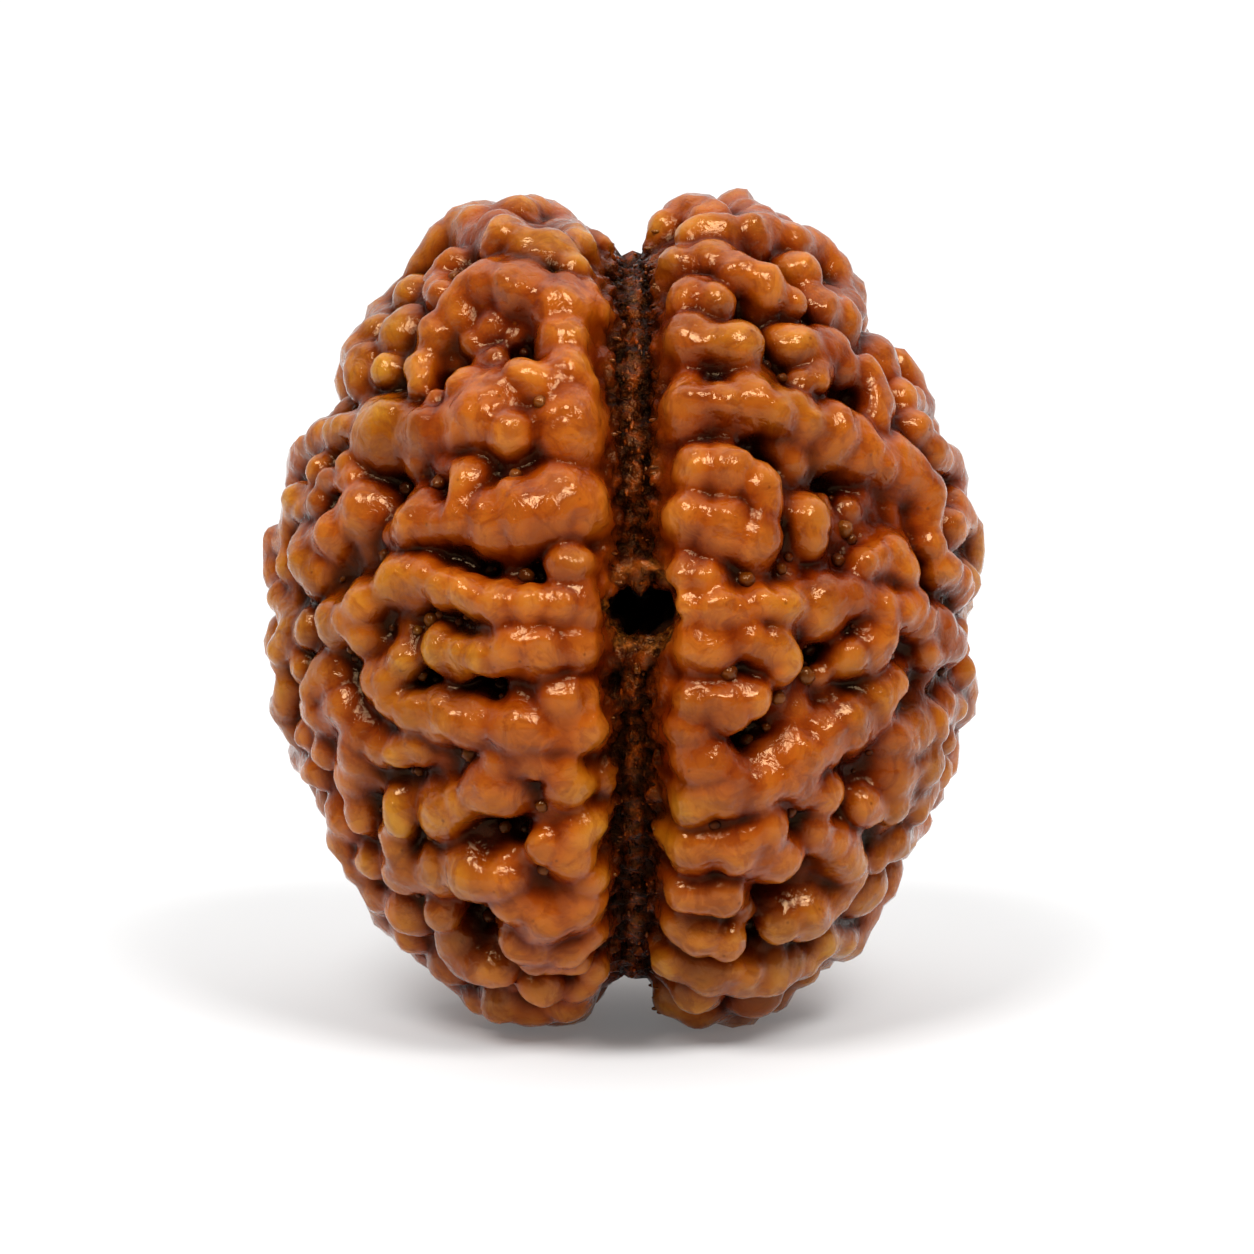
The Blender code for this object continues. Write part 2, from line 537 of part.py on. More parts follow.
def main():
    clear_scene()
    bead = make_bead()
    bore = make_cutter("bore_cutter", fill_bore)
    table = make_cutter("table_cutter", fill_table)
    cut(bead, bore)

    lean = bpy.data.objects.new("lean", None)
    bpy.context.scene.collection.objects.link(lean)
    lean.rotation_euler = (-LEAN_BACK, 0.0, 0.0)
    bead.parent = lean
    bore.parent = lean
    bpy.context.view_layer.update()

    lowest = evaluated_points(bead)[:, 2].min()
    table.location.z = lowest + FOOT_CUT
    cut(bead, table)
    bpy.context.view_layer.update()

    points = evaluated_points(bead)
    low = points.min(axis=0)
    high = points.max(axis=0)
    middle = 0.5 * (low + high)
    shift = Vector((-middle[0], -middle[1], -low[2]))
    lean.location += shift
    table.location += shift
    bpy.context.view_layer.update()


main()
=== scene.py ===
# %% [markdown]
# # A two-faced rudraksha bead
#
# A rudraksha bead is the stone of a small blue fruit. It is grown, not carved: two lobes meet
# along a seam, and each lobe is covered with fat, glossy, knobbly ridges over dark crevices.
# A cord runs through a bore from face to face. This lesson dresses the plain solid of the bead
# with a finer skin, crumbs of crust in its seam, glassy warts in its crevices, and an oiled,
# amber-brown finish.

import math
import random

import bmesh
import bpy
import numpy as np
import openvdb
from mathutils import Matrix, Vector, noise


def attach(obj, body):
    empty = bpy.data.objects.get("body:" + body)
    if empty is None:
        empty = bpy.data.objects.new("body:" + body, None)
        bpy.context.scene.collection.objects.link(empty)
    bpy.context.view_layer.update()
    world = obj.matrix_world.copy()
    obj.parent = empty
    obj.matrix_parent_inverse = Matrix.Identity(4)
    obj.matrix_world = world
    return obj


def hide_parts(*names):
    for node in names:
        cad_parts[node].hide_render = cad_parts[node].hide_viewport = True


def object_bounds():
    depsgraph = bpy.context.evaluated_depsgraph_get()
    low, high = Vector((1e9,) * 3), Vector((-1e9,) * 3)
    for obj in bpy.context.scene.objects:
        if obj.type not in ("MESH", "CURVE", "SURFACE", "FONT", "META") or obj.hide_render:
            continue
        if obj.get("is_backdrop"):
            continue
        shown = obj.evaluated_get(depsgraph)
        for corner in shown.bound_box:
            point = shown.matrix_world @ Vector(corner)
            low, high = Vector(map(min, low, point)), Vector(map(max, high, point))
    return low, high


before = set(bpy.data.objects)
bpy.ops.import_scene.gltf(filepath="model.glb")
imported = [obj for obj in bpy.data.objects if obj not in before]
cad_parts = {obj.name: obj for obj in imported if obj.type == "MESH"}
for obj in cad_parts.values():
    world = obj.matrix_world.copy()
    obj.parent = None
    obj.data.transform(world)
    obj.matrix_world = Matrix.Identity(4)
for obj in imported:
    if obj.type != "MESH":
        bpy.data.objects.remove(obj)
CAD_LOW, CAD_HIGH = (np.array(corner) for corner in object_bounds())
print("the plain solid measures, in mm:", np.round((CAD_HIGH - CAD_LOW) * 1000.0, 2))

# %% [markdown]
# ## Sizes
#
# The ridges are laid out in the bead's own frame, in millimetres: X across the lobes, Y along
# the bore with the looked-into mouth at -Y, and Z up along the seam. The bead stands leaning
# back on its lower knobs, so one matrix takes this frame to the table's, in metres. The bead's
# outline isn't a plain oval: each bulge lifts or lowers the ridge tops round one place, given as
# (x, z, rise, spread).

# %% Name the bead's sizes
MM = 0.001
HALVES = np.array((10.26, 9.8, 12.1))
RELIEF = 1.45
BORE_RADIUS = 0.95
BORE_X = 0.5
BORE_Z = -0.15
BORE_RISE = math.radians(9.0)
LEAN_BACK = math.radians(10.0)
BEAD_MIDDLE = Vector((-0.0000066, -0.0000107, 0.0117137))
EYE_DISTANCE = 260.0

BULGES = (
    (-4.9, 11.2, 0.35, 0.12),
    (-2.2, 12.0, -0.35, 0.1),
    (-1.5, 11.3, -0.5, 0.06),
    (1.4, 11.0, 0.4, 0.05),
    (5.9, 10.4, 0.35, 0.08),
    (-8.5, 6.0, -0.9, 0.075),
    (7.4, 8.0, -0.85, 0.06),
    (9.1, 4.5, 0.15, 0.05),
    (9.9, 1.9, 0.25, 0.08),
    (9.9, -0.3, -0.5, 0.06),
    (-9.9, 1.6, 0.2, 0.07),
    (-10.0, -2.5, 0.2, 0.1),
    (-8.9, -5.6, -0.5, 0.05),
    (-6.4, -9.6, 0.2, 0.1),
    (6.5, -9.8, 0.45, 0.08),
    (0.3, -11.0, 0.35, 0.08),
)
BULGE_REACH = 3.0

SEAM_X = 0.35
SEAM_HALF_WIDTH = 0.9
LOBE_SWELL = 0.042
LOBE_ANGLE = 0.30
LOBE_SPREAD = 0.17
SEAM_DIP = 0.085
SEAM_SPREAD_LEFT = 0.17
SEAM_SPREAD_RIGHT = 0.11

TO_TABLE = Matrix.Translation(BEAD_MIDDLE) @ Matrix.Rotation(-LEAN_BACK, 4, "X") @ Matrix.Scale(MM, 4)
print("bore tipped up by", round(math.degrees(LEAN_BACK), 1), "degrees")

# %% [markdown]
# ## The ridges
#
# On a real bead every ridge is a run of swollen knobs. Sculpting them would work, but a list of
# runs is easier to read and to change: each entry is (x, z, radius) as seen from in front. The
# lists follow the real face ridge by ridge, and they are the same ones that the plain solid has.

# %% List the ridges of the face
LEFT_TOP = (
    ((-3.1, 11.2, 0.68), (-2.6, 11.2, 0.95), (-2.0, 10.8, 0.77), (-1.4, 10.3, 0.6)),
    ((-4.9, 10.8, 0.95), (-4.25, 10.9, 1.23), (-3.4, 10.4, 0.77), (-2.25, 10.05, 0.8), (-1.5, 9.7, 0.52)),
    ((-4.9, 10.8, 0.95), (-5.5, 10.3, 0.8), (-5.9, 9.6, 0.6), (-6.3, 9.0, 0.68), (-6.75, 8.5, 0.77)),
    ((-6.75, 8.5, 0.77), (-6.9, 7.8, 0.6), (-7.15, 7.15, 0.91), (-7.25, 6.6, 0.77)),
    ((-7.55, 8.1, 0.6), (-7.75, 7.4, 0.6), (-8.0, 6.6, 0.6)),
    ((-5.1, 8.95, 0.44), (-5.4, 9.4, 0.3)),
    ((-5.2, 7.8, 0.77), (-4.55, 8.4, 0.77), (-3.6, 9.05, 1.04), (-3.0, 9.1, 0.77)),
    ((-2.9, 9.1, 0.6), (-1.8, 8.4, 0.95), (-1.65, 7.7, 0.68)),
    ((-1.7, 9.2, 0.37), (-1.1, 9.0, 0.44), (-0.75, 8.5, 0.37)),
    ((-0.75, 10.5, 0.3),),
    ((-5.75, 6.95, 0.52), (-5.8, 6.4, 0.37)),
    ((-4.5, 6.35, 0.57), (-3.9, 6.4, 0.3)),
    ((-5.4, 6.05, 0.3),),
    ((-2.9, 6.7, 0.44), (-2.4, 6.4, 0.6), (-1.6, 6.75, 0.77), (-1.2, 6.4, 0.52)),
    ((-1.6, 5.3, 1.13), (-1.6, 4.9, 0.95)),
    ((-6.6, 5.0, 1.17), (-5.5, 5.05, 0.77), (-4.5, 5.2, 0.77), (-3.6, 5.5, 1.23)),
    ((-3.6, 5.5, 1.23), (-3.2, 4.9, 0.6)),
    ((-7.7, 5.2, 0.37), (-8.5, 4.85, 0.6), (-9.05, 4.2, 0.6), (-9.3, 3.6, 0.52)),
    ((-9.2, 3.1, 0.52), (-8.6, 3.0, 0.37)),
    ((-9.1, 3.0, 0.52), (-9.4, 2.3, 0.52), (-9.8, 1.7, 0.6), (-9.7, 1.1, 0.6)),
    ((-7.85, 4.1, 0.37), (-7.7, 3.7, 0.3), (-8.4, 3.7, 0.3)),
)
LEFT_MIDDLE = (
    ((-7.4, 2.7, 0.86), (-8.0, 2.2, 0.7), (-8.6, 1.6, 0.98), (-8.5, 1.1, 0.82)),
    ((-6.0, 2.4, 0.68), (-5.5, 2.6, 0.84), (-4.6, 2.5, 0.6), (-3.5, 2.5, 1.0), (-2.8, 2.7, 1.05)),
    ((-2.8, 2.7, 1.05), (-1.95, 3.0, 1.15), (-1.4, 2.9, 1.0)),
    ((-4.5, 3.0, 0.45), (-4.4, 3.75, 0.6)),
    ((-1.6, 1.25, 0.62), (-1.35, 0.6, 0.5)),
    ((-6.4, 0.95, 0.6), (-5.6, 0.95, 0.62), (-4.9, 0.6, 0.62), (-4.2, 0.3, 0.58), (-3.5, 0.15, 0.62)),
    ((-3.5, 0.15, 0.62), (-2.7, 0.1, 0.6), (-1.9, 0.1, 0.66), (-1.3, 0.0, 0.62)),
    ((-6.6, 0.7, 0.6), (-7.3, 0.1, 0.7), (-8.0, -0.35, 0.78)),
    ((-7.35, -0.75, 0.62),),
    ((-5.15, -1.1, 0.66), (-4.5, -1.35, 0.56), (-3.9, -1.2, 0.5), (-3.25, -1.1, 0.62)),
    ((-3.25, -1.1, 0.62), (-2.3, -1.1, 0.74), (-1.5, -1.0, 0.74)),
    ((-6.2, -1.5, 0.6), (-6.75, -2.0, 0.76), (-6.5, -2.5, 0.6), (-5.9, -2.9, 0.66), (-5.1, -3.0, 0.76)),
    ((-5.1, -3.0, 0.76), (-4.0, -3.2, 0.7), (-2.8, -3.4, 0.86), (-1.3, -3.35, 0.8)),
    ((-1.75, -2.6, 0.72), (-1.2, -2.5, 0.5)),
    ((-8.15, -1.95, 0.86), (-8.55, -2.8, 0.7), (-7.9, -2.8, 0.6)),
    ((-7.9, -2.8, 0.6), (-7.35, -3.5, 0.6), (-7.4, -4.1, 0.8), (-7.7, -4.6, 0.6)),
    ((-6.9, -3.9, 0.5), (-6.3, -4.0, 0.4), (-5.8, -3.9, 0.45)),
    ((-9.6, 0.4, 0.5), (-9.2, -0.7, 0.8), (-9.5, -1.4, 0.6)),
    ((-9.5, -2.2, 0.5), (-9.45, -2.8, 0.65), (-9.2, -3.5, 0.55)),
    ((-9.1, -4.1, 0.6), (-8.6, -4.6, 0.52)),
)
LEFT_BOTTOM = (
    ((-5.15, -5.75, 0.76), (-4.5, -5.4, 0.62), (-3.5, -5.0, 0.95)),
    ((-3.5, -4.3, 0.5), (-2.5, -4.4, 0.4), (-1.7, -4.5, 0.45)),
    ((-1.55, -5.0, 0.68),),
    ((-1.2, -6.1, 0.66), (-1.6, -6.8, 0.84), (-2.3, -6.75, 0.5)),
    ((-7.8, -5.85, 0.78), (-7.75, -6.5, 0.68), (-7.35, -7.2, 0.66)),
    ((-8.2, -6.6, 0.45), (-8.0, -7.1, 0.4)),
    ((-6.9, -7.9, 0.6), (-6.5, -8.5, 0.76), (-6.0, -9.2, 0.6)),
    ((-5.6, -9.8, 0.6), (-5.1, -10.5, 0.55)),
    ((-6.25, -5.6, 0.6), (-6.4, -6.5, 0.62), (-6.1, -7.3, 0.78), (-5.1, -7.3, 0.82), (-4.2, -7.4, 0.88)),
    ((-4.2, -7.4, 0.88), (-3.4, -7.6, 0.76), (-3.0, -8.3, 0.74), (-2.3, -8.6, 0.88), (-1.45, -8.25, 0.88)),
    ((-1.45, -8.25, 0.88), (-1.1, -7.6, 0.6)),
    ((-3.1, -9.4, 0.45), (-2.4, -9.55, 0.5), (-1.6, -9.55, 0.55), (-1.05, -9.2, 0.5)),
    ((-2.7, -10.0, 0.35), (-2.0, -10.05, 0.4), (-1.3, -10.0, 0.4)),
    ((-5.1, -8.55, 0.58),),
    ((-4.8, -9.3, 0.6), (-4.35, -9.7, 0.85), (-3.7, -10.2, 0.6)),
    ((-4.7, -10.6, 0.6), (-4.1, -10.9, 0.64), (-3.4, -11.1, 0.6)),
    ((-3.4, -11.1, 0.6), (-2.4, -11.3, 0.66), (-1.7, -10.9, 0.84), (-0.9, -10.2, 0.5)),
)
RIGHT_TOP = (
    ((1.3, 10.9, 0.6), (1.75, 11.15, 0.75), (2.4, 11.0, 0.7)),
    ((3.1, 11.25, 0.7), (3.8, 10.95, 0.6), (4.3, 10.9, 0.55)),
    ((2.1, 10.5, 0.65), (2.8, 10.65, 0.7), (3.6, 10.6, 0.72), (4.5, 10.4, 0.72), (5.2, 10.0, 0.85)),
    ((5.2, 10.0, 0.85), (5.8, 9.5, 0.75), (6.15, 8.9, 0.75), (6.05, 8.25, 0.68), (5.5, 8.55, 0.6)),
    ((6.5, 9.2, 0.5), (6.75, 8.6, 0.5)),
    ((1.6, 9.85, 0.6), (2.6, 9.95, 0.65), (3.25, 9.5, 0.65), (4.0, 9.1, 0.65)),
    ((4.0, 9.1, 0.6), (4.7, 8.75, 0.5)),
    ((1.85, 8.8, 0.68), (2.6, 8.7, 0.6)),
    ((1.95, 7.6, 0.82), (3.1, 7.45, 0.82)),
    ((4.65, 7.5, 0.7), (5.5, 7.25, 0.82), (6.1, 6.85, 0.62), (6.8, 6.5, 0.66), (7.1, 5.9, 0.62)),
    ((7.1, 5.9, 0.62), (7.05, 5.35, 0.5)),
    ((5.4, 6.7, 0.6), (5.0, 6.45, 0.42)),
    ((7.6, 6.95, 0.6), (8.15, 6.8, 0.62), (8.25, 6.2, 0.58)),
    ((7.9, 6.0, 0.5), (8.4, 5.75, 0.52)),
    ((1.9, 5.75, 0.8),),
    ((2.7, 5.95, 0.6), (3.5, 5.9, 0.9), (4.2, 5.7, 0.72), (5.0, 5.4, 0.72), (5.75, 4.95, 0.95)),
    ((5.75, 4.95, 0.95), (6.6, 4.5, 0.82), (7.5, 4.1, 0.98), (8.15, 3.3, 0.95), (8.4, 2.6, 0.8)),
    ((8.2, 5.1, 0.6), (8.6, 4.5, 0.6), (9.1, 4.1, 0.55), (9.4, 3.5, 0.55), (9.3, 2.9, 0.58)),
)
RIGHT_MIDDLE = (
    ((2.1, 3.95, 0.72), (2.9, 3.85, 0.82), (3.7, 3.55, 0.72)),
    ((3.95, 3.0, 0.55),),
    ((1.95, 2.65, 0.78), (2.8, 2.3, 0.95), (3.6, 2.05, 0.85)),
    ((5.15, 2.6, 0.66), (5.3, 1.9, 0.45)),
    ((1.75, 0.9, 0.5), (2.3, 0.85, 0.56)),
    ((1.9, 0.1, 0.6), (2.55, 0.05, 0.72), (3.2, -0.05, 0.55)),
    ((2.35, -1.05, 0.86),),
    ((3.5, -0.8, 0.55), (4.1, -1.05, 0.8), (4.4, -1.55, 0.55)),
    ((3.75, 0.2, 0.48), (4.35, 0.1, 0.6), (5.35, 0.1, 1.05)),
    ((6.8, 1.3, 0.5), (7.5, 1.4, 0.7), (7.9, 1.2, 0.55)),
    ((6.3, 0.35, 0.55), (7.2, 0.2, 0.65), (7.9, 0.05, 0.7), (8.3, -0.3, 0.55), (8.9, -0.55, 0.58)),
    ((8.9, -0.55, 0.58), (9.2, -1.0, 0.65), (8.6, -1.15, 0.5)),
    ((7.2, -0.35, 0.6), (6.8, -0.95, 0.88), (6.4, -1.35, 0.6)),
    ((9.3, 2.3, 0.5), (9.7, 2.6, 0.5), (9.85, 1.8, 0.58), (9.75, 1.2, 0.5)),
    ((8.6, 1.85, 0.45), (8.85, 1.2, 0.62), (9.4, 0.6, 0.58)),
    ((7.6, -2.15, 0.5),),
    ((9.5, -1.7, 0.5), (9.65, -2.1, 0.6), (9.45, -2.8, 0.6), (9.0, -2.7, 0.5)),
    ((3.6, -2.55, 0.6), (2.9, -2.75, 0.82), (2.05, -2.65, 0.68), (1.9, -3.4, 0.66), (2.35, -4.3, 0.8)),
    ((2.35, -4.3, 0.8), (2.8, -5.05, 0.88), (2.1, -5.4, 0.78)),
    ((7.0, -2.55, 0.88), (6.25, -3.2, 0.84), (5.5, -3.75, 0.82), (4.75, -4.25, 0.92)),
    ((4.75, -4.25, 0.92), (3.85, -4.95, 0.76), (2.8, -5.05, 0.88)),
)
RIGHT_BOTTOM = (
    ((5.0, -5.0, 0.5), (5.6, -5.2, 0.64)),
    ((8.55, -3.25, 0.68), (7.5, -3.6, 0.72), (7.3, -4.6, 0.92), (8.1, -4.2, 0.9)),
    ((8.1, -4.2, 0.9), (8.1, -5.15, 0.84), (7.4, -5.45, 0.7), (6.7, -5.45, 0.6)),
    ((9.15, -3.9, 0.5), (9.0, -4.4, 0.5)),
    ((8.2, -6.05, 0.6), (7.5, -6.5, 0.62), (7.05, -7.0, 0.5)),
    ((2.0, -6.75, 0.78), (3.1, -6.6, 0.78), (4.25, -6.95, 0.82)),
    ((3.1, -6.6, 0.78), (3.95, -6.1, 0.7)),
    ((5.35, -6.2, 0.5), (6.0, -6.7, 0.82), (6.25, -7.45, 0.72), (5.75, -8.1, 0.74), (5.0, -8.55, 0.86)),
    ((5.0, -8.55, 0.86), (4.4, -9.0, 0.6)),
    ((1.75, -8.0, 0.56), (2.8, -8.1, 0.66)),
    ((1.6, -9.0, 0.52), (2.25, -9.2, 0.68), (3.0, -9.4, 0.56)),
    ((1.4, -10.0, 0.6), (2.5, -10.2, 0.74), (3.3, -10.35, 0.66), (4.0, -10.2, 0.78), (5.0, -9.85, 0.66)),
    ((7.55, -7.65, 0.66), (7.1, -8.2, 0.6), (6.7, -8.6, 0.76), (6.25, -9.4, 0.64), (5.6, -9.4, 0.5)),
    ((1.4, -11.0, 0.6), (2.1, -11.15, 0.76), (3.1, -11.25, 0.78), (4.2, -10.95, 0.62)),
)
FACE_RIDGES = LEFT_TOP + LEFT_MIDDLE + LEFT_BOTTOM + RIGHT_TOP + RIGHT_MIDDLE + RIGHT_BOTTOM
print("the face has", len(FACE_RIDGES), "runs of knobs")

# %% [markdown]
# ## From a flat drawing to the round bead
#
# The ridge tops all touch one egg-shaped surface, which swells a little on each side of the
# seam. A place on the drawing is sent along the line of sight until it meets that surface, so
# the drawing is also right for the eye that looks at it from 26 cm away. The surface is no plain
# ellipsoid, so the meeting point is found by halving the stretch that it must lie in.

# %% Place a knob on the round surface
THIN_RADIUS = 0.65
THIN_SINK = 0.7
RIM_Y = -0.001
SEARCH_FROM = 1.2
HALVINGS = 40


def crest_radius(directions):
    """How far the ridge tops stand from the middle, for rows of unit vectors."""
    radius = 1.0 / np.linalg.norm(directions / HALVES, axis=-1)
    angle = np.arcsin(np.clip(directions[..., 0] - SEAM_X / HALVES[2], -1.0, 1.0))
    swell = LOBE_SWELL * np.exp(-(((np.abs(angle) - LOBE_ANGLE) / LOBE_SPREAD) ** 2))
    seam_spread = np.where(angle < 0.0, SEAM_SPREAD_LEFT, SEAM_SPREAD_RIGHT)
    dip = SEAM_DIP * np.exp(-((angle / seam_spread) ** 2))
    radius = radius * (1.0 + swell - dip)
    for x, z, rise, spread in BULGES:
        away = directions - np.array((x, 0.0, z)) / math.hypot(x, z)
        aside = away / (spread, spread * BULGE_REACH, spread)
        radius = radius + rise * np.exp(-(aside**2).sum(axis=-1))
    return radius


def depth_of_centre(radius):
    """Thin ridges lie lower than fat ones."""
    return radius + THIN_SINK * max(0.0, THIN_RADIUS - radius)


def sunk(point, depth):
    """Moves a point towards the middle of the bead."""
    return point * (1.0 - depth / np.linalg.norm(point))


def place_on_face(x_seen, z_seen, radius):
    """Turns a place on the face, as seen from in front, into a point of the bead."""
    depth = depth_of_centre(radius)

    def point_at(y):
        nearer = 1.0 + y / EYE_DISTANCE
        return np.array((x_seen * nearer, y, z_seen * nearer))

    def outside(y):
        point = point_at(y)
        length = np.linalg.norm(point)
        return length - (crest_radius(point / length) - depth)

    if outside(RIM_Y) > 0.0:
        return sunk(point_at(RIM_Y), outside(RIM_Y))
    near, far = -SEARCH_FROM * HALVES[1], RIM_Y
    for _ in range(HALVINGS):
        middle = 0.5 * (near + far)
        if outside(middle) > 0.0:
            near = middle
        else:
            far = middle
    return point_at(near)


print("a knob beside the bore sits at", np.round(place_on_face(2.3, -1.0, 0.72), 2))

# %% [markdown]
# ## The far face
#
# The far face of a bead is much like the near one. Drawing it anew would double the lists, and a
# plain mirror image would show, so the same runs are turned head over heels and shifted a
# little. The shifts come from a seeded draw, which gives the same bead each time.

# %% Turn the runs over for the far face
SEED = 27
BACK_SHIFT = 0.3
BACK_GROWTH = (0.94, 1.08)
RIM_EDGE = -1.2


def face_runs():
    runs = []
    for ridge in FACE_RIDGES:
        runs.append([(place_on_face(x, z, r), r) for x, z, r in ridge])
    return runs


def back_runs():
    """The face's runs on the far face, cut off where they come near the rim."""
    runs = []
    for ridge in FACE_RIDGES:
        side = math.copysign(1.0, ridge[0][0])
        shift_x = side * luck.uniform(0.0, BACK_SHIFT)
        shift_z = luck.uniform(-BACK_SHIFT, BACK_SHIFT)
        fatter = luck.uniform(*BACK_GROWTH)
        run = []
        for x, z, r in ridge:
            radius = fatter * r
            point = place_on_face(x + shift_x, 2.0 * BORE_Z - z + shift_z, radius)
            if point[1] < RIM_EDGE:
                run.append((point * (1.0, -1.0, 1.0), radius))
            elif run:
                runs.append(run)
                run = []
        if run:
            runs.append(run)
    return runs


luck = random.Random(SEED)
RUNS = face_runs()
RUNS += back_runs()
print(len(RUNS), "runs of knobs on the two faces")

# %% [markdown]
# ## The seam
#
# The lobes end in low walls on both sides of the seam, and a crest of crust runs along its
# bottom. Both are lines of small lumps, sunk below the ridge tops. On the near face the crest
# stops at the mouth of the bore; on the far face the mouth lies higher, so the crest goes on
# across the middle.

# %% Line the seam
SEAM_UP = ((0.45, 1.9), (0.35, 3.4), (0.3, 5.0), (0.1, 6.6), (0.0, 8.2), (-0.1, 9.6))
SEAM_ACROSS = ((0.4, 1.9), (0.45, 0.0), (0.4, -1.9))
SEAM_DOWN = ((0.4, -1.9), (0.4, -3.4), (0.3, -5.0), (0.35, -6.6), (0.3, -8.2), (0.25, -9.6))
WALL_LEFT = ((-1.0, 10.5), (-1.1, 8.0), (-1.2, 5.0), (-1.15, 1.6), (-1.15, -1.6), (-1.0, -5.0), (-0.9, -10.4))
WALL_RIGHT = ((1.3, 10.6), (1.35, 8.0), (1.5, 5.0), (1.6, 1.6), (1.6, -1.6), (1.45, -5.0), (1.4, -10.4))
CREST_RADIUS, CREST_LUMPS = 0.34, (0.75, 1.25)
WALL_RADIUS, WALL_LUMPS = 0.42, (0.85, 1.15)
LINE_SINK = 0.95


def line_run(line, flip, radius, lumps):
    """A low lumpy line along the seam, on the near face (flip 1) or the far one (flip -1)."""
    run = []
    for x, z in line:
        lump = radius * luck.uniform(*lumps)
        seen_z = z if flip > 0.0 else 2.0 * BORE_Z - z
        point = sunk(place_on_face(x, seen_z, lump), LINE_SINK)
        run.append((point * (1.0, flip, 1.0), lump))
    return run


def seam_runs():
    """The crest in the bottom of each seam and the walls beside it, front and back."""
    runs = []
    for flip in (1.0, -1.0):
        crests = (SEAM_UP, SEAM_DOWN) if flip > 0.0 else (SEAM_UP, SEAM_ACROSS, SEAM_DOWN)
        for line in crests:
            runs.append(line_run(line, flip, CREST_RADIUS, CREST_LUMPS))
        for line in (WALL_LEFT, WALL_RIGHT):
            runs.append(line_run(line, flip, WALL_RADIUS, WALL_LUMPS))
    return runs


RUNS += seam_runs()
print(len(RUNS), "runs with those of the seam")

# %% [markdown]
# ## The sides
#
# The sides are hardly seen from in front, so no list is drawn for them. Knobs are dropped
# between the faces wherever there is room, fat ones first, and a neck ties most of them to their
# nearest neighbour, so that they read as ridges too.

# %% Drop knobs on the sides
KNOB_RADII = (0.95, 0.8, 0.66, 0.54, 0.44)
KNOB_GAP = 0.06
KNOB_REACH = 0.9
SIDE_EDGE = 4.2
SIDE_PLACES = 9000
NECK_SHARE = 0.88
BALL_STEP = 0.3
SIDE_NECK_CHANCE = 0.8
SIDE_NECK_SHARE = 0.72


def balls_along(run):
    """Fills a run with balls, close enough together to read as one ridge with necks."""
    balls = [run[0]]
    for (start, start_radius), (end, end_radius) in zip(run, run[1:]):
        step = BALL_STEP * min(start_radius, end_radius)
        count = max(1, math.ceil(np.linalg.norm(end - start) / step))
        for index in range(1, count):
            share = index / count
            radius = NECK_SHARE * (start_radius + (end_radius - start_radius) * share)
            balls.append((start + (end - start) * share, radius))
        balls.append((end, end_radius))
    return balls


def even_directions(count):
    """Unit vectors spread evenly over a ball by the golden angle."""
    index = np.arange(count) + 0.5
    height = 1.0 - 2.0 * index / count
    turn = index * math.pi * (3.0 - math.sqrt(5.0))
    level = np.sqrt(1.0 - height**2)
    return np.stack((level * np.cos(turn), level * np.sin(turn), height), axis=1)


def side_runs(taken):
    """Knobs and necks between the faces, clear of the balls that are there already."""
    directions = even_directions(SIDE_PLACES)
    order = list(range(len(directions)))
    luck.shuffle(order)
    centres = np.array([centre for centre, _ in taken])
    radii = np.array([radius for _, radius in taken])
    knobs = []
    for radius in KNOB_RADII:
        for index in order:
            direction = directions[index]
            point = direction * (crest_radius(direction) - depth_of_centre(radius))
            if abs(point[1]) > SIDE_EDGE or abs(point[0] - SEAM_X) < SEAM_HALF_WIDTH + radius:
                continue
            clear = np.linalg.norm(centres - point, axis=1) - radii - radius
            if clear.min() > KNOB_GAP:
                knobs.append((point, radius))
                centres = np.vstack((centres, point))
                radii = np.append(radii, radius)
    runs = [[knob] for knob in knobs]
    for number, (point, radius) in enumerate(knobs):
        gaps = np.linalg.norm(centres - point, axis=1) - radii - radius
        gaps[len(taken) + number] = np.inf
        nearest = int(np.argmin(gaps))
        if gaps[nearest] < KNOB_REACH and luck.random() < SIDE_NECK_CHANCE:
            neck = SIDE_NECK_SHARE * min(radius, radii[nearest])
            runs.append([(point, neck), (centres[nearest], neck)])
    return runs


RUNS += side_runs([ball for run in RUNS for ball in balls_along(run)])
print(len(RUNS), "runs of knobs on the whole bead")

# %% [markdown]
# ## The skin as a distance field
#
# Ridges on a real bead melt into each other at their feet and bulge over the crevices. Boolean
# unions leave hard creases there, and moving the points of a ball can't make an overhang. So
# the skin is worked out as a field on a fine grid: each cell holds its distance to the nearest
# knob or neck, blended softly, and OpenVDB turns the zero level into a mesh.

# %% Set up the grid
CELL = 0.115
MARGIN = 0.7
SHORTEST = 1e-6

GRID_LOW = -HALVES * (1.0 + LOBE_SWELL) - MARGIN
GRID_SIZE = np.ceil(-2.0 * GRID_LOW / CELL).astype(int)
AXES = [(GRID_LOW[i] + CELL * np.arange(GRID_SIZE[i])).astype(np.float32) for i in range(3)]
GRID_POINTS = np.stack(np.meshgrid(*AXES, indexing="ij"), axis=-1)
LENGTHS = np.maximum(np.linalg.norm(GRID_POINTS, axis=-1), SHORTEST)


def cells_near(low, high):
    """The first and last cells of a box, kept inside the grid."""
    first = np.maximum(np.floor((low - GRID_LOW) / CELL).astype(int), 0)
    last = np.minimum(np.ceil((high - GRID_LOW) / CELL).astype(int) + 1, GRID_SIZE)
    return first, last


print("the grid has", LENGTHS.size, "cells of", CELL, "mm")

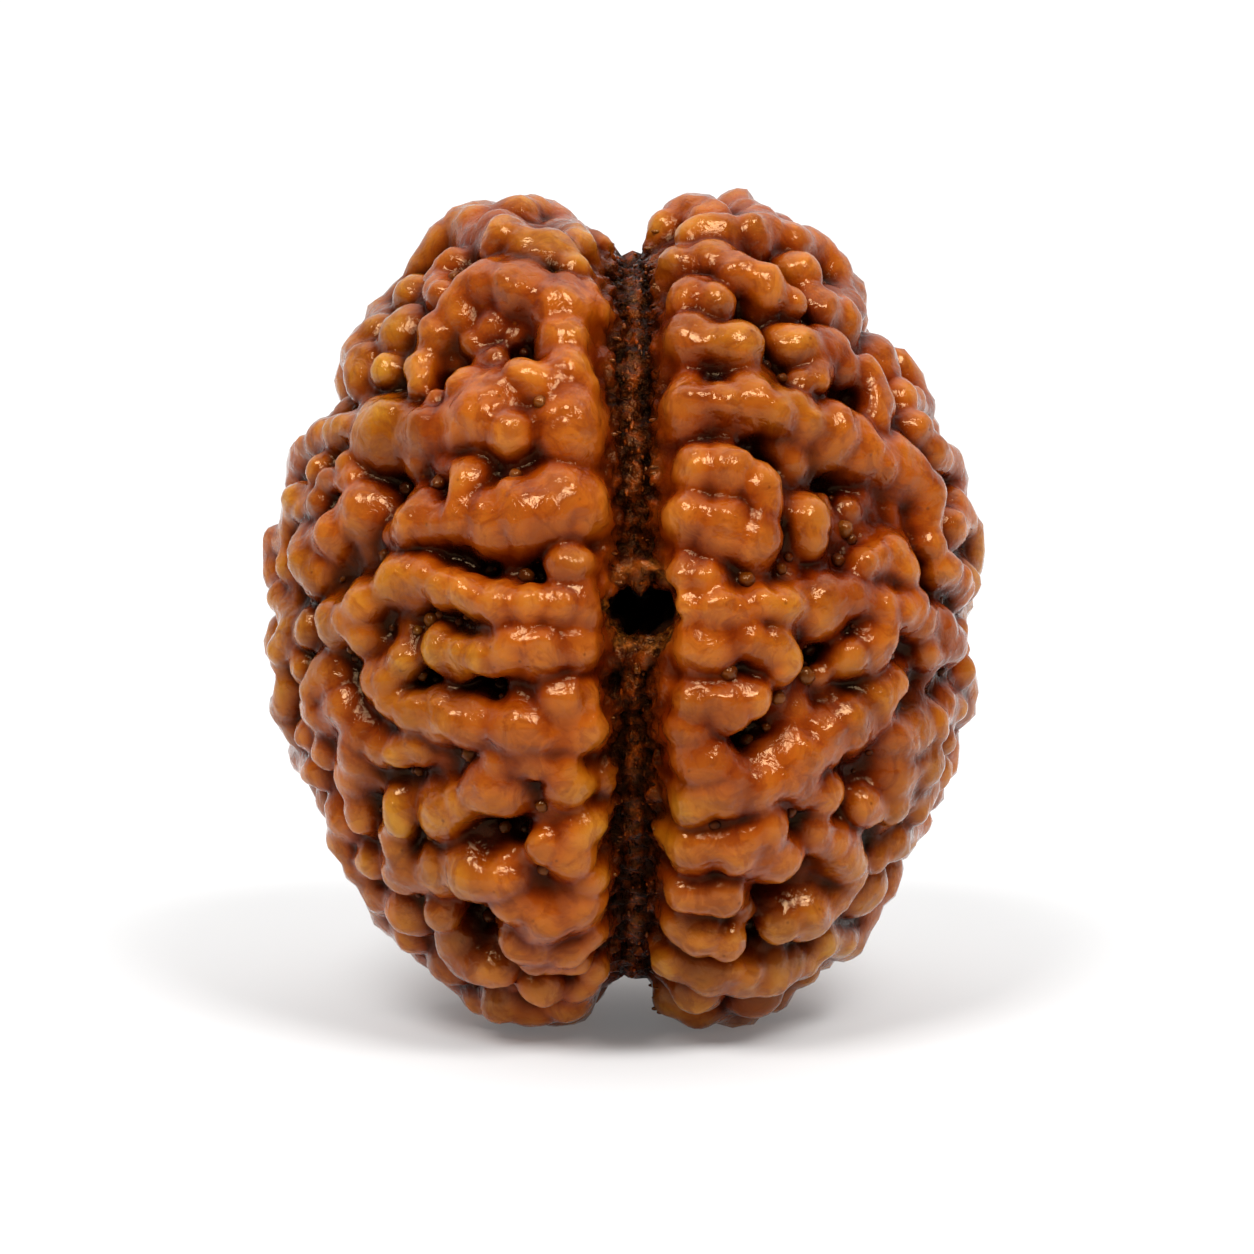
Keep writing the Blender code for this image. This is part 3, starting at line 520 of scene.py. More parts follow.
# %% Turn a run into bars
STALK_SHARES = (0.9, 1.12)
FOOT_LIFT = 0.3
NECKS = ((0.0, NECK_SHARE), (0.45, 0.9), (0.9, 0.95))
NODULE_STEP = 0.85
NODULE_PLACES = (0.1, 0.9)
NODULE_SHARES = (0.5, 0.8)
NODULE_LIFTS = (0.0, 0.15)
NODULE_TURN = 0.8


def bars_of(run):
    """A run as bars: its knobs, the necks between them, and the walls down to the floor."""
    bars = []
    top, bottom = STALK_SHARES
    for point, radius in run:
        foot = sunk(point, RELIEF - FOOT_LIFT * radius)
        bars.append((point, point, radius, radius))
        bars.append((point, foot, top * radius, bottom * radius))
    for (start, start_radius), (end, end_radius) in zip(run, run[1:]):
        for sink, share in NECKS:
            bars.append((sunk(start, sink), sunk(end, sink), share * start_radius, share * end_radius))
    return bars


def nodules_on(run):
    """Small knobs on a run, as bars: each stands a little way out of the ridge."""
    bars = []
    for (start, start_radius), (end, end_radius) in zip(run, run[1:]):
        along = end - start
        count = max(1, round(float(np.linalg.norm(along)) / NODULE_STEP))
        for step in range(count):
            share = (step + luck.uniform(*NODULE_PLACES)) / count
            radius = start_radius + share * (end_radius - start_radius)
            size = radius * luck.uniform(*NODULE_SHARES)
            centre = start + share * along
            up = centre / np.linalg.norm(centre)
            aside = np.cross(along, up)
            aside = aside / max(float(np.linalg.norm(aside)), SHORTEST)
            turn = luck.gauss(0.0, NODULE_TURN)
            outward = up * math.cos(turn) + aside * math.sin(turn)
            centre = centre + outward * (radius + luck.uniform(*NODULE_LIFTS) - size)
            bars.append((centre, centre, size, size))
    return bars


print("the first run makes", len(bars_of(RUNS[0])), "bars")

# %% Fill the field with the ridges
BLEND = 10.0
REACH = 0.45
FAR = 9.0
LEAST_SQUARE = 1e-9


def bar_distance(first, last, start, end, start_radius, end_radius):
    """Distance of the grid's cells to a bar whose radius changes from end to end."""
    x, y, z = np.ix_(*[AXES[i][first[i] : last[i]] - np.float32(start[i]) for i in range(3)])
    bar = (end - start).astype(np.float32)
    length_squared = max(float(bar @ bar), LEAST_SQUARE)
    share = np.clip((x * bar[0] + y * bar[1] + z * bar[2]) / length_squared, 0.0, 1.0)
    dx, dy, dz = x - share * bar[0], y - share * bar[1], z - share * bar[2]
    radius = start_radius + (end_radius - start_radius) * share
    return np.sqrt(dx * dx + dy * dy + dz * dz) - radius


def add_bars(total, bars):
    """Adds bars to the field, as powers, so that neighbours blend in any order."""
    lows = [np.minimum(a, b) - max(ra, rb) - REACH for a, b, ra, rb in bars]
    highs = [np.maximum(a, b) + max(ra, rb) + REACH for a, b, ra, rb in bars]
    first, last = cells_near(np.min(lows, axis=0), np.max(highs, axis=0))
    nearest = np.full(last - first, FAR, dtype=np.float32)
    for (a, b, ra, rb), low, high in zip(bars, lows, highs):
        bar_first, bar_last = cells_near(low, high)
        part = tuple(slice(bar_first[i] - first[i], bar_last[i] - first[i]) for i in range(3))
        nearest[part] = np.minimum(nearest[part], bar_distance(bar_first, bar_last, a, b, ra, rb))
    place = tuple(slice(first[i], last[i]) for i in range(3))
    total[place] += np.exp(-BLEND * nearest)


ridge_power = np.zeros(LENGTHS.shape, dtype=np.float32)
for run in RUNS:
    add_bars(ridge_power, bars_of(run))
    for nodule in nodules_on(run):
        add_bars(ridge_power, [nodule])
print("the ridges reach", int((ridge_power > 0.0).sum()), "cells")

# %% [markdown]
# ## Crevice floor
#
# The crevices end in a floor, a shell that lies a set depth under the ridge tops, lower in the
# seam and in the pits that the eye sees as dark holes. It is lumpy everywhere: small balls are
# strewn over it and blended in softly, so that the ridges seem to melt into it. Crumbs of crust
# fill the seam.

# %% Lay the floor, with its pits
PITS = (
    (-3.0, 7.6), (-5.3, 6.65), (-6.8, 6.3), (-3.5, -6.6), (-2.8, -10.7), (-4.3, -9.2), (-1.5, -10.5),
    (3.6, 8.4), (4.8, 9.1), (4.25, 9.9), (4.6, 7.2), (6.3, 6.2), (6.1, 3.9), (8.7, 1.35), (5.7, -1.2),
    (3.55, -3.75), (3.7, -9.6), (4.25, -8.1), (4.0, 4.5), (-3.9, 1.1), (-2.3, 0.85), (-5.6, -2.1),
    (-4.1, -2.15), (-6.6, 3.6),
)
PIT_DEPTH = 0.9
PIT_WIDTH = 0.075
PIT_RADIUS = 0.6
PIT_POINTS = np.array([place_on_face(x, z, PIT_RADIUS) for x, z in PITS])
PIT_WAYS = PIT_POINTS / np.linalg.norm(PIT_POINTS, axis=1)[:, None]
FLOOR_LIFT = 0.5
SHELL_FROM = 0.72
CREST_X = 0.2
CREST_HALF_WIDTH = 0.5
SEAM_SLOPE = 0.6
DEEP_INSIDE = -3.0


def near_pit(directions):
    """1 in the middle of a pit, 0 far from all of them, for rows of unit vectors."""
    nearness = np.zeros(len(directions))
    for way in PIT_WAYS:
        apart = np.linalg.norm(directions - way, axis=1)
        nearness = np.maximum(nearness, np.exp(-((apart / PIT_WIDTH) ** 2)))
    return nearness


shell = LENGTHS * np.linalg.norm(GRID_POINTS / LENGTHS[..., None] / HALVES, axis=-1) > SHELL_FROM
shell_points = GRID_POINTS[shell]
shell_lengths = LENGTHS[shell]
shell_ways = shell_points / shell_lengths[:, None]
off_seam = np.clip((np.abs(shell_points[:, 0] - CREST_X) - CREST_HALF_WIDTH) / SEAM_SLOPE, 0.0, 1.0)
lift = FLOOR_LIFT * off_seam - PIT_DEPTH * near_pit(shell_ways)
floor_distance = np.full(LENGTHS.shape, DEEP_INSIDE, dtype=np.float32)
floor_distance[shell] = shell_lengths - (crest_radius(shell_ways) - RELIEF + lift)
print(len(PITS), "pits in the floor")

# %% Strew lumps over the floor of the crevices
LUMPS = 4200
LUMP_STRAY = 0.05
LUMP_RADII = (0.2, 0.46)
LUMP_LIFTS = (-0.1, 0.5)
PIT_EDGE = 0.4


def strew_lumps(total, count):
    """Small balls on the floor, but for the seam and the pits."""
    for direction in even_directions(count):
        away = np.array([luck.uniform(-LUMP_STRAY, LUMP_STRAY) for _ in range(3)])
        unit = (direction + away) / np.linalg.norm(direction + away)
        radius = luck.uniform(*LUMP_RADII)
        centre = unit * (crest_radius(unit) - RELIEF + luck.uniform(*LUMP_LIFTS))
        if abs(centre[0] - SEAM_X) > SEAM_HALF_WIDTH and near_pit(unit[None])[0] < PIT_EDGE:
            add_bars(total, [(centre, centre, radius, radius)])


floor_power = np.exp(-BLEND * np.maximum(floor_distance, DEEP_INSIDE))
strew_lumps(floor_power, LUMPS)
print(LUMPS, "lumps on the floor")

# %% Strew crumbs in the seam, and join floor and ridges
CRUMBS = 1500
CRUMB_STRAY = 0.6
CRUMB_RADII = (0.1, 0.24)
CRUMB_LIFTS = (-0.1, 0.45)
CRUMB_LENGTHS = (0.1, 0.5)
CRUMB_TAPER = 0.7
GROOVE_DEPTH = 0.35
WALL_FROM = 0.4
WALL_ASIDE, WALL_OUT = 0.4, 0.25
MEAN_RADIUS = 11.0
FLOOR_BLEND = 5.0
LEAST_POWER = 1e-30


def strew_crumbs(total, count):
    """Crumbs of crust in the seam: long ones along its bottom, and others down its walls."""
    for _ in range(count):
        turn = luck.uniform(0.0, 2.0 * math.pi)
        aside = max(-SEAM_HALF_WIDTH, min(SEAM_HALF_WIDTH, luck.gauss(0.0, CRUMB_STRAY)))
        way = Vector(((SEAM_X + aside) / MEAN_RADIUS, -math.cos(turn), math.sin(turn)))
        unit = np.array(way.normalized())
        radius = luck.uniform(*CRUMB_RADII)
        low = GROOVE_DEPTH * math.sin(abs(aside) / SEAM_HALF_WIDTH * math.pi)
        centre = unit * (crest_radius(unit) - RELIEF + luck.uniform(*CRUMB_LIFTS) - low)
        along = np.array((0.0, math.sin(turn), math.cos(turn))) * luck.uniform(*CRUMB_LENGTHS)
        if abs(aside) > WALL_FROM:
            out = (-WALL_OUT * math.cos(turn), WALL_OUT * math.sin(turn))
            along = np.array((math.copysign(WALL_ASIDE, aside), *out))
        add_bars(total, [(centre, centre + along, radius, CRUMB_TAPER * radius)])


strew_crumbs(ridge_power, CRUMBS)
ridge_part = np.maximum(ridge_power, LEAST_POWER) ** (FLOOR_BLEND / BLEND)
floor_part = np.maximum(floor_power, LEAST_POWER) ** (FLOOR_BLEND / BLEND)
field = -np.log(ridge_part + floor_part) / FLOOR_BLEND
print(CRUMBS, "crumbs in the seam")

# %% [markdown]
# ## The bore
#
# The drill rises a little on its way to the far mouth. A Boolean with a cylinder would leave a
# clean pipe, but on the real bead the radius wanders, because the drill tore the crust, and
# crumbs of the crust still stand in the near mouth. In a field both are simple: the bore is a
# distance too, taken away with a maximum, and the crumbs are put back with a minimum.

# %% Drill the bore
MOUTH_FLARE = 0.12
FLARE_DEPTH = 0.5
WANDERS = ((0.06, 3.0, 0.9), (0.05, 8.0, -1.7))


def bore_radius_at(around, depth):
    """The drill's radius, wider at the near mouth; each wander is (strength, waves, twist)."""
    flare = MOUTH_FLARE * np.exp(-np.maximum(depth, 0.0) / FLARE_DEPTH)
    wander = sum(strength * np.sin(waves * around + twist * depth) for strength, waves, twist in WANDERS)
    return BORE_RADIUS + flare + wander * (1.0 + 2.0 * flare)


near_floor = HALVES[1] * (1.0 - SEAM_DIP) - RELIEF
aside_x = GRID_POINTS[..., 0] - BORE_X
aside_z = GRID_POINTS[..., 2] - BORE_Z - math.tan(BORE_RISE) * (GRID_POINTS[..., 1] + HALVES[1])
depth_in = near_floor + GRID_POINTS[..., 1]
bore_distance = np.hypot(aside_x, aside_z) - bore_radius_at(np.arctan2(aside_z, aside_x), depth_in)
field = np.maximum(field, -bore_distance.astype(np.float32))
print("bore cut", round(2.0 * BORE_RADIUS, 2), "mm wide")

# %% Set crumbs round the near mouth
MOUTH_CRUMBS = 70
MOUTH_HALF_WIDTH, MOUTH_MORE_WIDE = 1.3, (-0.08, 0.3)
MOUTH_HALF_HEIGHT, MOUTH_MORE_HIGH = 0.92, (-0.08, 0.35)
MOUTH_RAISE = 0.08
MOUTH_RADII = (0.14, 0.27)
MOUTH_LIFTS = (-0.1, 0.5)
SHOULDER_LIFT = 0.55
OUTWARD = (1.25, 1.02, 1.25)
OUTER_GROWTH = 1.1


def mouth_crumbs(count):
    """A ragged ring of crumbs that leaves the near mouth wider than tall."""
    power = np.zeros(field.shape, dtype=np.float32)
    for index in range(count):
        turn = 2.0 * math.pi * (index + luck.uniform(0.0, 1.0)) / count
        wide = MOUTH_HALF_WIDTH + luck.uniform(*MOUTH_MORE_WIDE)
        tall = MOUTH_HALF_HEIGHT + luck.uniform(*MOUTH_MORE_HIGH)
        radius = luck.uniform(*MOUTH_RADII)
        reach = near_floor + luck.uniform(*MOUTH_LIFTS) + SHOULDER_LIFT * math.cos(turn) ** 2
        x, z = BORE_X + wide * math.cos(turn), BORE_Z + MOUTH_RAISE + tall * math.sin(turn)
        centre = np.array((x, -reach, z))
        add_bars(power, [(centre, centre * OUTWARD, radius, OUTER_GROWTH * radius)])
    return -np.log(np.maximum(power, LEAST_POWER)) / BLEND


field = np.minimum(field, mouth_crumbs(MOUTH_CRUMBS))
print(MOUTH_CRUMBS, "crumbs round the near mouth")

# %% [markdown]
# ## From field to mesh
#
# OpenVDB returns four-sided faces, all of one size. They are thinned out with Decimate, less on
# the looked-at face than on the far one. The finish needs to know where a place lies, and the
# field knows it: the share of solid in a wide ball round a place says how hollow it is, and in a
# small ball whether it lies in a crease; the finish darkens hollows and creases with these,
# partly as painted shade. These are stored for each point, with four others: how deep it lies
# under the ridge tops, how far it belongs to the crust of the seam, to the pale ring round a
# mouth of the bore, and to the inside of the bore, which is painted dark as shade.

# %% Measure how hollow each place is
HOLLOW_BALLS = (0.55, 0.35)
CREASE_BALLS = (0.25, 0.15)
EDGE_SOFTNESS = 0.4
STEEPEST = 20.0


def box_blur(values, reach):
    """Averages a grid over cubes, one axis after another."""
    for axis in range(3):
        width = [(0, 0)] * 3
        width[axis] = (reach + 1, reach)
        sums = np.cumsum(np.pad(values, width, mode="edge"), axis=axis, dtype=np.float64)
        count = values.shape[axis]
        span = 2 * reach + 1
        high = np.take(sums, np.arange(span, span + count), axis)
        low = np.take(sums, np.arange(0, count), axis)
        values = ((high - low) / span).astype(np.float32)
    return values


def share_of_solid(reaches):
    """Two blurs one after the other, which is close to the mean over a ball."""
    values = solid
    for reach in reaches:
        values = box_blur(values, round(reach / CELL))
    return values


def read_grid(values, points):
    """Values of a grid at points, between its cells."""
    place = (points - GRID_LOW) / CELL
    base = np.clip(np.floor(place).astype(int), 0, np.array(values.shape) - 2)
    share = place - base
    result = np.zeros(len(points))
    for corner in np.ndindex(2, 2, 2):
        weight = np.prod(np.where(corner, share, 1.0 - share), axis=1)
        index = base + corner
        result += weight * values[index[:, 0], index[:, 1], index[:, 2]]
    return result


steepness = np.clip(field / (EDGE_SOFTNESS * CELL), -STEEPEST, STEEPEST)
solid = (1.0 / (1.0 + np.exp(steepness))).astype(np.float32)
hollow_grid = share_of_solid(HOLLOW_BALLS)
crease_grid = share_of_solid(CREASE_BALLS)
print("the solid fills", round(100.0 * float(solid.mean())), "% of the grid")


# %% Turn the field into a mesh
def new_object(name, data):
    item = bpy.data.objects.new(name, data)
    bpy.context.scene.collection.objects.link(item)
    return item


volume = openvdb.FloatGrid()
volume.copyFromArray(np.ascontiguousarray(field, dtype=np.float32))
points, quads = volume.convertToQuads()
points = points.astype(float) * CELL + GRID_LOW
skin_mesh = bpy.data.meshes.new("bead_skin")
skin_mesh.from_pydata(points.tolist(), [], quads[:, ::-1].tolist())
skin_mesh.update()
skin = new_object("bead_skin", skin_mesh)
print("raw skin has", len(quads), "faces")

# %% Thin the mesh out, least on the looked-at face
PIECE_TRIANGLES = 196000
THINNED_FROM, THINNED_OVER = -5.0, 6.0
LEAST_THINNED = 0.12
THINNING_STEPS = 8
THINNING_PULL = 2.0


def point_array(mesh):
    flat = np.empty(3 * len(mesh.vertices), dtype=np.float32)
    mesh.vertices.foreach_get("co", flat)
    return flat.reshape(-1, 3).astype(float)


def thin_out(item, target):
    """Removes faces until about target triangles are left, fewest where the face is near."""
    triangles = 2 * len(item.data.polygons)
    if triangles <= target:
        return
    places = point_array(item.data)
    far = np.clip((places[:, 1] - THINNED_FROM) / THINNED_OVER, LEAST_THINNED, 1.0)
    levels = (far * THINNING_STEPS).astype(int).clip(0, THINNING_STEPS - 1)
    group = item.vertex_groups.new(name="far side")
    for step in range(THINNING_STEPS):
        chosen = np.nonzero(levels == step)[0]
        group.add(chosen.tolist(), (step + 1) / THINNING_STEPS, "REPLACE")
    thin = item.modifiers.new("thin out", "DECIMATE")
    thin.ratio = target / triangles
    thin.vertex_group = group.name
    thin.vertex_group_factor = THINNING_PULL
    graph = bpy.context.evaluated_depsgraph_get()
    mesh = bpy.data.meshes.new_from_object(item.evaluated_get(graph))
    item.modifiers.clear()
    item.data = mesh
    item.vertex_groups.clear()


thin_out(skin, PIECE_TRIANGLES)
print("skin has", len(skin.data.polygons), "faces and", len(skin.data.vertices), "points")

# %% Note the places that the finish reads
LOW_FROM, LOW_OVER = 0.4, 0.5
CRUST_EDGE, CRUST_FADE = 0.7, 0.5
RING_RADIUS, RING_WIDTH, RING_DEEPEST = 1.15, 0.35, 1.9
# Where painted shade inside the bore begins, and how far from its line it reaches.
BORE_SHADE_FROM, BORE_SHADE_OVER = 1.5, 0.5
BORE_SHADE_EDGE, BORE_SHADE_FADE = 1.7, 0.3


def rising(values, start, over):
    """0 up to start, then rising to 1 over a stretch; a stretch below 0 rises the other way."""
    return np.clip((values - start) / over, 0.0, 1.0)


def note(mesh, name, values):
    layer = mesh.attributes.new(name, "FLOAT", "POINT")
    layer.data.foreach_set("value", np.asarray(values, dtype=np.float32))


def point_values(mesh, name):
    values = np.empty(len(mesh.vertices), dtype=np.float32)
    mesh.attributes[name].data.foreach_get("value", values)
    return values


def note_places(mesh):
    """Stores, for every point of a mesh in the bead's frame, what the finish reads."""
    places = point_array(mesh)
    lengths = np.linalg.norm(places, axis=1)
    depth = crest_radius(places / lengths[:, None]) - lengths
    low = rising(depth, LOW_FROM, LOW_OVER)
    aside = np.abs(places[:, 0] - CREST_X)
    line_z = BORE_Z + math.tan(BORE_RISE) * (places[:, 1] + HALVES[1])
    to_bore = np.hypot(places[:, 0] - BORE_X, places[:, 2] - line_z)
    off_ring = rising(np.abs(to_bore - RING_RADIUS), 0.0, RING_WIDTH)
    inside = rising(depth, BORE_SHADE_FROM, BORE_SHADE_OVER)
    note(mesh, "hollow", read_grid(hollow_grid, places))
    note(mesh, "crease", read_grid(crease_grid, places))
    note(mesh, "depth", depth / RELIEF)
    note(mesh, "crust", low * (1.0 - rising(aside, CRUST_EDGE, CRUST_FADE)))
    note(mesh, "ring", low * (1.0 - off_ring) * (depth < RING_DEEPEST))
    # mouth: how deep inside the bore a point lies, where the finish paints shade.
    note(mesh, "mouth", inside * rising(to_bore, BORE_SHADE_EDGE, -BORE_SHADE_FADE))


note_places(skin.data)
for name in ("hollow", "crease", "depth"):
    spread = np.percentile(point_values(skin.data, name), (2, 10, 25, 50, 75, 90, 98))
    print(name, "percentiles", np.round(spread, 3))

# %% [markdown]
# ## Fine relief
#
# The ridges of the real bead are never quite smooth: they have shallow dents and wrinkles, and
# the crust in the seam is grainy. A Displace modifier would treat all places alike, so the
# points are pushed along their normals by noise in code, faint on the ridges and strong in the
# seam.

# %% Push the points by noise
PUSHES = ((0.13, 1.0, 0.0), (0.05, 1.9, 3.0), (0.03, 3.6, 7.0))
CRUST_PUSH = 0.22


def roughen(item):
    """Pushes the points by three scales of noise, each given as (strength, scale, shift)."""
    mesh = item.data
    places = point_array(mesh)
    normals = np.empty(3 * len(mesh.vertices), dtype=np.float32)
    mesh.vertices.foreach_get("normal", normals)
    push = np.zeros(len(places))
    for strength, scale, shift in PUSHES:
        waves = np.array([noise.noise(Vector(place * scale + shift)) for place in places])
        push += strength * waves
    push += CRUST_PUSH * point_values(mesh, "crust") * waves
    places = places + normals.reshape(-1, 3) * push[:, None]
    mesh.vertices.foreach_set("co", places.astype(np.float32).ravel())
    mesh.update()
    return push


push = roughen(skin)
print("skin roughened by at most", round(float(np.abs(push).max()), 2), "mm")

# %% [markdown]
# ## Warts and grains
#
# Glassy little warts stand in the deep crevices, and the seam is full of crusty grains. On a
# mesh of this size they can't be part of the skin, so they are small knobbly balls of their
# own, let into it. A few ball shapes, turned at random, serve them all. The large warts stand
# where they stand on the real face; the small ones and the grains are strewn, each where a line
# towards the bead's middle meets the skin.

# %% Shape the little balls
BALL_SHAPES = 6
DENT, DENT_SCALE, DENT_SHIFT = 0.12, 1.3, 5.0
ROUNDEST_FROM, ROUND_FROM = 0.21, 0.1
ROUND = np.identity(3)


def ball_shape(seed, fineness):
    """A small ball with dents, as arrays of points and faces."""
    shape = bmesh.new()
    bmesh.ops.create_icosphere(shape, subdivisions=fineness, radius=1.0)
    for vertex in shape.verts:
        dent = noise.noise(vertex.co * DENT_SCALE + Vector((seed * DENT_SHIFT, 0.0, 0.0)))
        vertex.co *= 1.0 + DENT * dent
    corners = np.array([vertex.co for vertex in shape.verts])
    faces = np.array([[vertex.index for vertex in face.verts] for face in shape.faces])
    shape.free()
    return corners, faces


SHAPES = {fineness: [ball_shape(seed, fineness) for seed in range(BALL_SHAPES)] for fineness in (2, 3, 4)}


def stretched(along, times):
    """A matrix that makes a ball longer one way."""
    return np.array(Matrix.Scale(times, 3, along.normalized()))


def join_balls(name, balls):
    """One mesh of many balls, given as (centre, radius, stretch); large ones are rounder."""
    all_points, all_faces, count = [], [], 0
    for number, (centre, radius, stretch) in enumerate(balls):
        fineness = 4 if radius > ROUNDEST_FROM else 3 if radius > ROUND_FROM else 2
        corners, faces = SHAPES[fineness][number % BALL_SHAPES]
        turn = Matrix.Rotation(luck.uniform(0.0, 6.28), 3, Vector(centre).normalized())
        all_points.append((corners * radius) @ np.array(turn).T @ stretch + centre)
        all_faces.append(faces + count)
        count += len(corners)
    mesh = bpy.data.meshes.new(name)
    mesh.from_pydata(np.concatenate(all_points).tolist(), [], np.concatenate(all_faces).tolist())
    mesh.update()
    return new_object(name, mesh)


print(BALL_SHAPES, "shapes of ball, each in", len(SHAPES), "finenesses")

# %% Set the large warts
WARTS = (
    (-2.85, 7.35, 0.15), (-2.4, 5.95, 0.2), (-4.85, 9.5, 0.2), (-6.2, 3.45, 0.25), (-5.3, 3.6, 0.26),
    (-3.1, 3.85, 0.2), (-3.8, 1.15, 0.22), (-2.8, 0.95, 0.25), (-6.8, 1.55, 0.22), (-5.5, -0.3, 0.24),
    (-5.9, -0.6, 0.16), (-7.4, -1.3, 0.16), (-5.35, -2.0, 0.16), (-3.5, -2.17, 0.22), (-1.3, -2.05, 0.13),
    (-6.45, -3.1, 0.22), (-4.4, -4.1, 0.25), (-5.85, -4.6, 0.16), (-2.35, -5.6, 0.2), (-3.4, -6.2, 0.2),
    (-2.3, -7.4, 0.2), (-3.85, -8.75, 0.2), (-0.95, -2.4, 0.25), (3.0, -1.8, 0.24), (3.5, -3.75, 0.22),
    (3.5, 0.85, 0.25), (4.1, 4.2, 0.24), (6.3, 2.3, 0.28), (6.1, 1.4, 0.22), (4.7, 1.5, 0.16),
    (5.9, 3.0, 0.2), (5.3, -1.1, 0.24), (5.2, -1.9, 0.28), (4.4, -2.5, 0.22), (4.25, -5.4, 0.22),
    (4.75, -5.75, 0.2), (2.6, 6.3, 0.22), (4.6, 9.2, 0.2), (6.85, 7.0, 0.28), (8.35, -2.55, 0.28),
)
LARGE_WART_HOLLOW = 0.53
LET_IN = 0.1
OUTSIDE = 20.0


def on_skin(point):
    """Where the line from outside through a point meets the skin."""
    direction = Vector(point).normalized()
    return np.array(skin.ray_cast(direction * OUTSIDE, -direction)[1])


def seen_on_skin(x, z):
    """Where the line of sight through a place of the drawing meets the skin."""
    eye = Vector((0.0, -EYE_DISTANCE, 0.0))
    return np.array(skin.ray_cast(eye, (Vector((x, 0.0, z)) - eye).normalized())[1])


large_warts = []
for x, z, radius in WARTS:
    place = seen_on_skin(x, z)
    if read_grid(hollow_grid, place[None])[0] > LARGE_WART_HOLLOW:
        large_warts.append((sunk(place, LET_IN * radius), radius, ROUND))
print(len(large_warts), "large warts stand on the face")

# %% Strew the small warts
SMALL_WART_PLACES = 2600
SMALL_WART_HOLLOW = 0.65
SMALL_WART_STRAY = 0.04
SMALL_WART_RADII = (0.07, 0.1, 0.14, 0.18)
SMALL_WART_GROWTH = (0.8, 1.15)
SMALL_WART_LIFTS = (-0.6, -0.1)


def small_warts(count):
    """Warts in the crevices: most of the places tried are left out, as not hollow enough."""
    found = []
    for direction in even_directions(count):
        stray = [luck.uniform(-SMALL_WART_STRAY, SMALL_WART_STRAY) for _ in range(3)]
        place = on_skin(direction + np.array(stray))
        hollow = read_grid(hollow_grid, place[None])[0]
        if abs(place[0] - SEAM_X) < SEAM_HALF_WIDTH or hollow < SMALL_WART_HOLLOW:
            continue
        radius = luck.choice(SMALL_WART_RADII) * luck.uniform(*SMALL_WART_GROWTH)
        found.append((sunk(place, -luck.uniform(*SMALL_WART_LIFTS) * radius), radius, ROUND))
    return found


warts = join_balls("crevice_warts", large_warts + small_warts(SMALL_WART_PLACES))
note_places(warts.data)
print(warts.name, "has", len(warts.data.polygons), "triangles")

# %% Strew the grains of the seam
GRAINS = 700
GRAIN_STRAY, GRAIN_EDGE = 0.55, 0.75
GRAIN_RADII = (0.03, 0.07)
GRAIN_STRETCHES = (1.0, 3.0)
GRAIN_SUNK = 0.3
GRAIN_WALL_FROM = 0.45
IN_THE_BORE = 7.5


def seam_grains(count):
    """Grains that lie along the bottom of the seam, and across it on its walls."""
    grains = []
    while len(grains) < count:
        turn = luck.uniform(0.0, 2.0 * math.pi)
        aside = luck.gauss(0.0, GRAIN_STRAY)
        if abs(aside) > GRAIN_EDGE:
            continue
        place = on_skin((SEAM_X + aside, -HALVES[1] * math.cos(turn), HALVES[2] * math.sin(turn)))
        if np.linalg.norm(place) < IN_THE_BORE:
            continue
        radius = luck.uniform(*GRAIN_RADII)
        along = Vector((1.0, 0.0, 0.0))
        if abs(aside) < GRAIN_WALL_FROM:
            along = Vector((0.0, -math.sin(turn), -math.cos(turn)))
        stretch = stretched(along, luck.uniform(*GRAIN_STRETCHES))
        grains.append((sunk(place, GRAIN_SUNK * radius), radius, stretch))
    return grains


seam_crust = join_balls("seam_crust", seam_grains(GRAINS))
note_places(seam_crust.data)
print(seam_crust.name, "has", len(seam_crust.data.polygons), "triangles")

# %% [markdown]
# ## Stand the pieces on the table
#
# The pieces are taken to the table's frame, in metres. The bead's lowest knobs are worn flat
# where it rests, and nothing may stick out of the plain solid's box, so the few points that
# noise pushed past it are brought back to it.


# %% Take a piece to the table's frame
def to_table(item):
    item.data.transform(TO_TABLE)
    places = point_array(item.data)
    inside = np.clip(places, CAD_LOW, CAD_HIGH)
    moved = np.linalg.norm(inside - places, axis=1)
    item.data.vertices.foreach_set("co", inside.astype(np.float32).ravel())
    item.data.update()
    item.data.shade_smooth()
    print(item.name, "most brought back to the box, in mm:", round(float(moved.max()) * 1000.0, 3))


def keep(item):
    """Hangs a finished piece of the bead on the root body, and hides the plain solid."""
    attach(item, "root")
    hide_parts("bead")


for item in (skin, warts, seam_crust):
    to_table(item)
    keep(item)

# %% [markdown]
# ## The finish
#
# An oiled rudraksha is amber on the worn ridge tops, red-brown down their flanks and nearly
# black in the crevices, under a clear, slightly wrinkled gloss. Part of that darkening, and the
# darkening with depth and in creases, is painted shade. A painted picture would need a map of
# the surface; one shader does without: the noted places drive the colour, noise breaks it up,
# and three scales of bump wrinkle the gloss. The gloss is tinted warm, as light that has
# been through the oil comes back, and warmer still on the crust, which is nearly dull.


# %% Helpers for the node tree
def grey(value):
    return (value, value, value)


def ramp(tree, source, stops):
    """A colour ramp with stops given as (place, colour)."""
    node = tree.nodes.new("ShaderNodeValToRGB")
    bar = node.color_ramp
    while len(bar.elements) < len(stops):
        bar.elements.new(0.5)
    for element, (place, colour) in zip(bar.elements, stops):
        element.position = place
        element.color = (*colour, 1.0)
    tree.links.new(source, node.inputs["Fac"])
    return node.outputs["Color"]


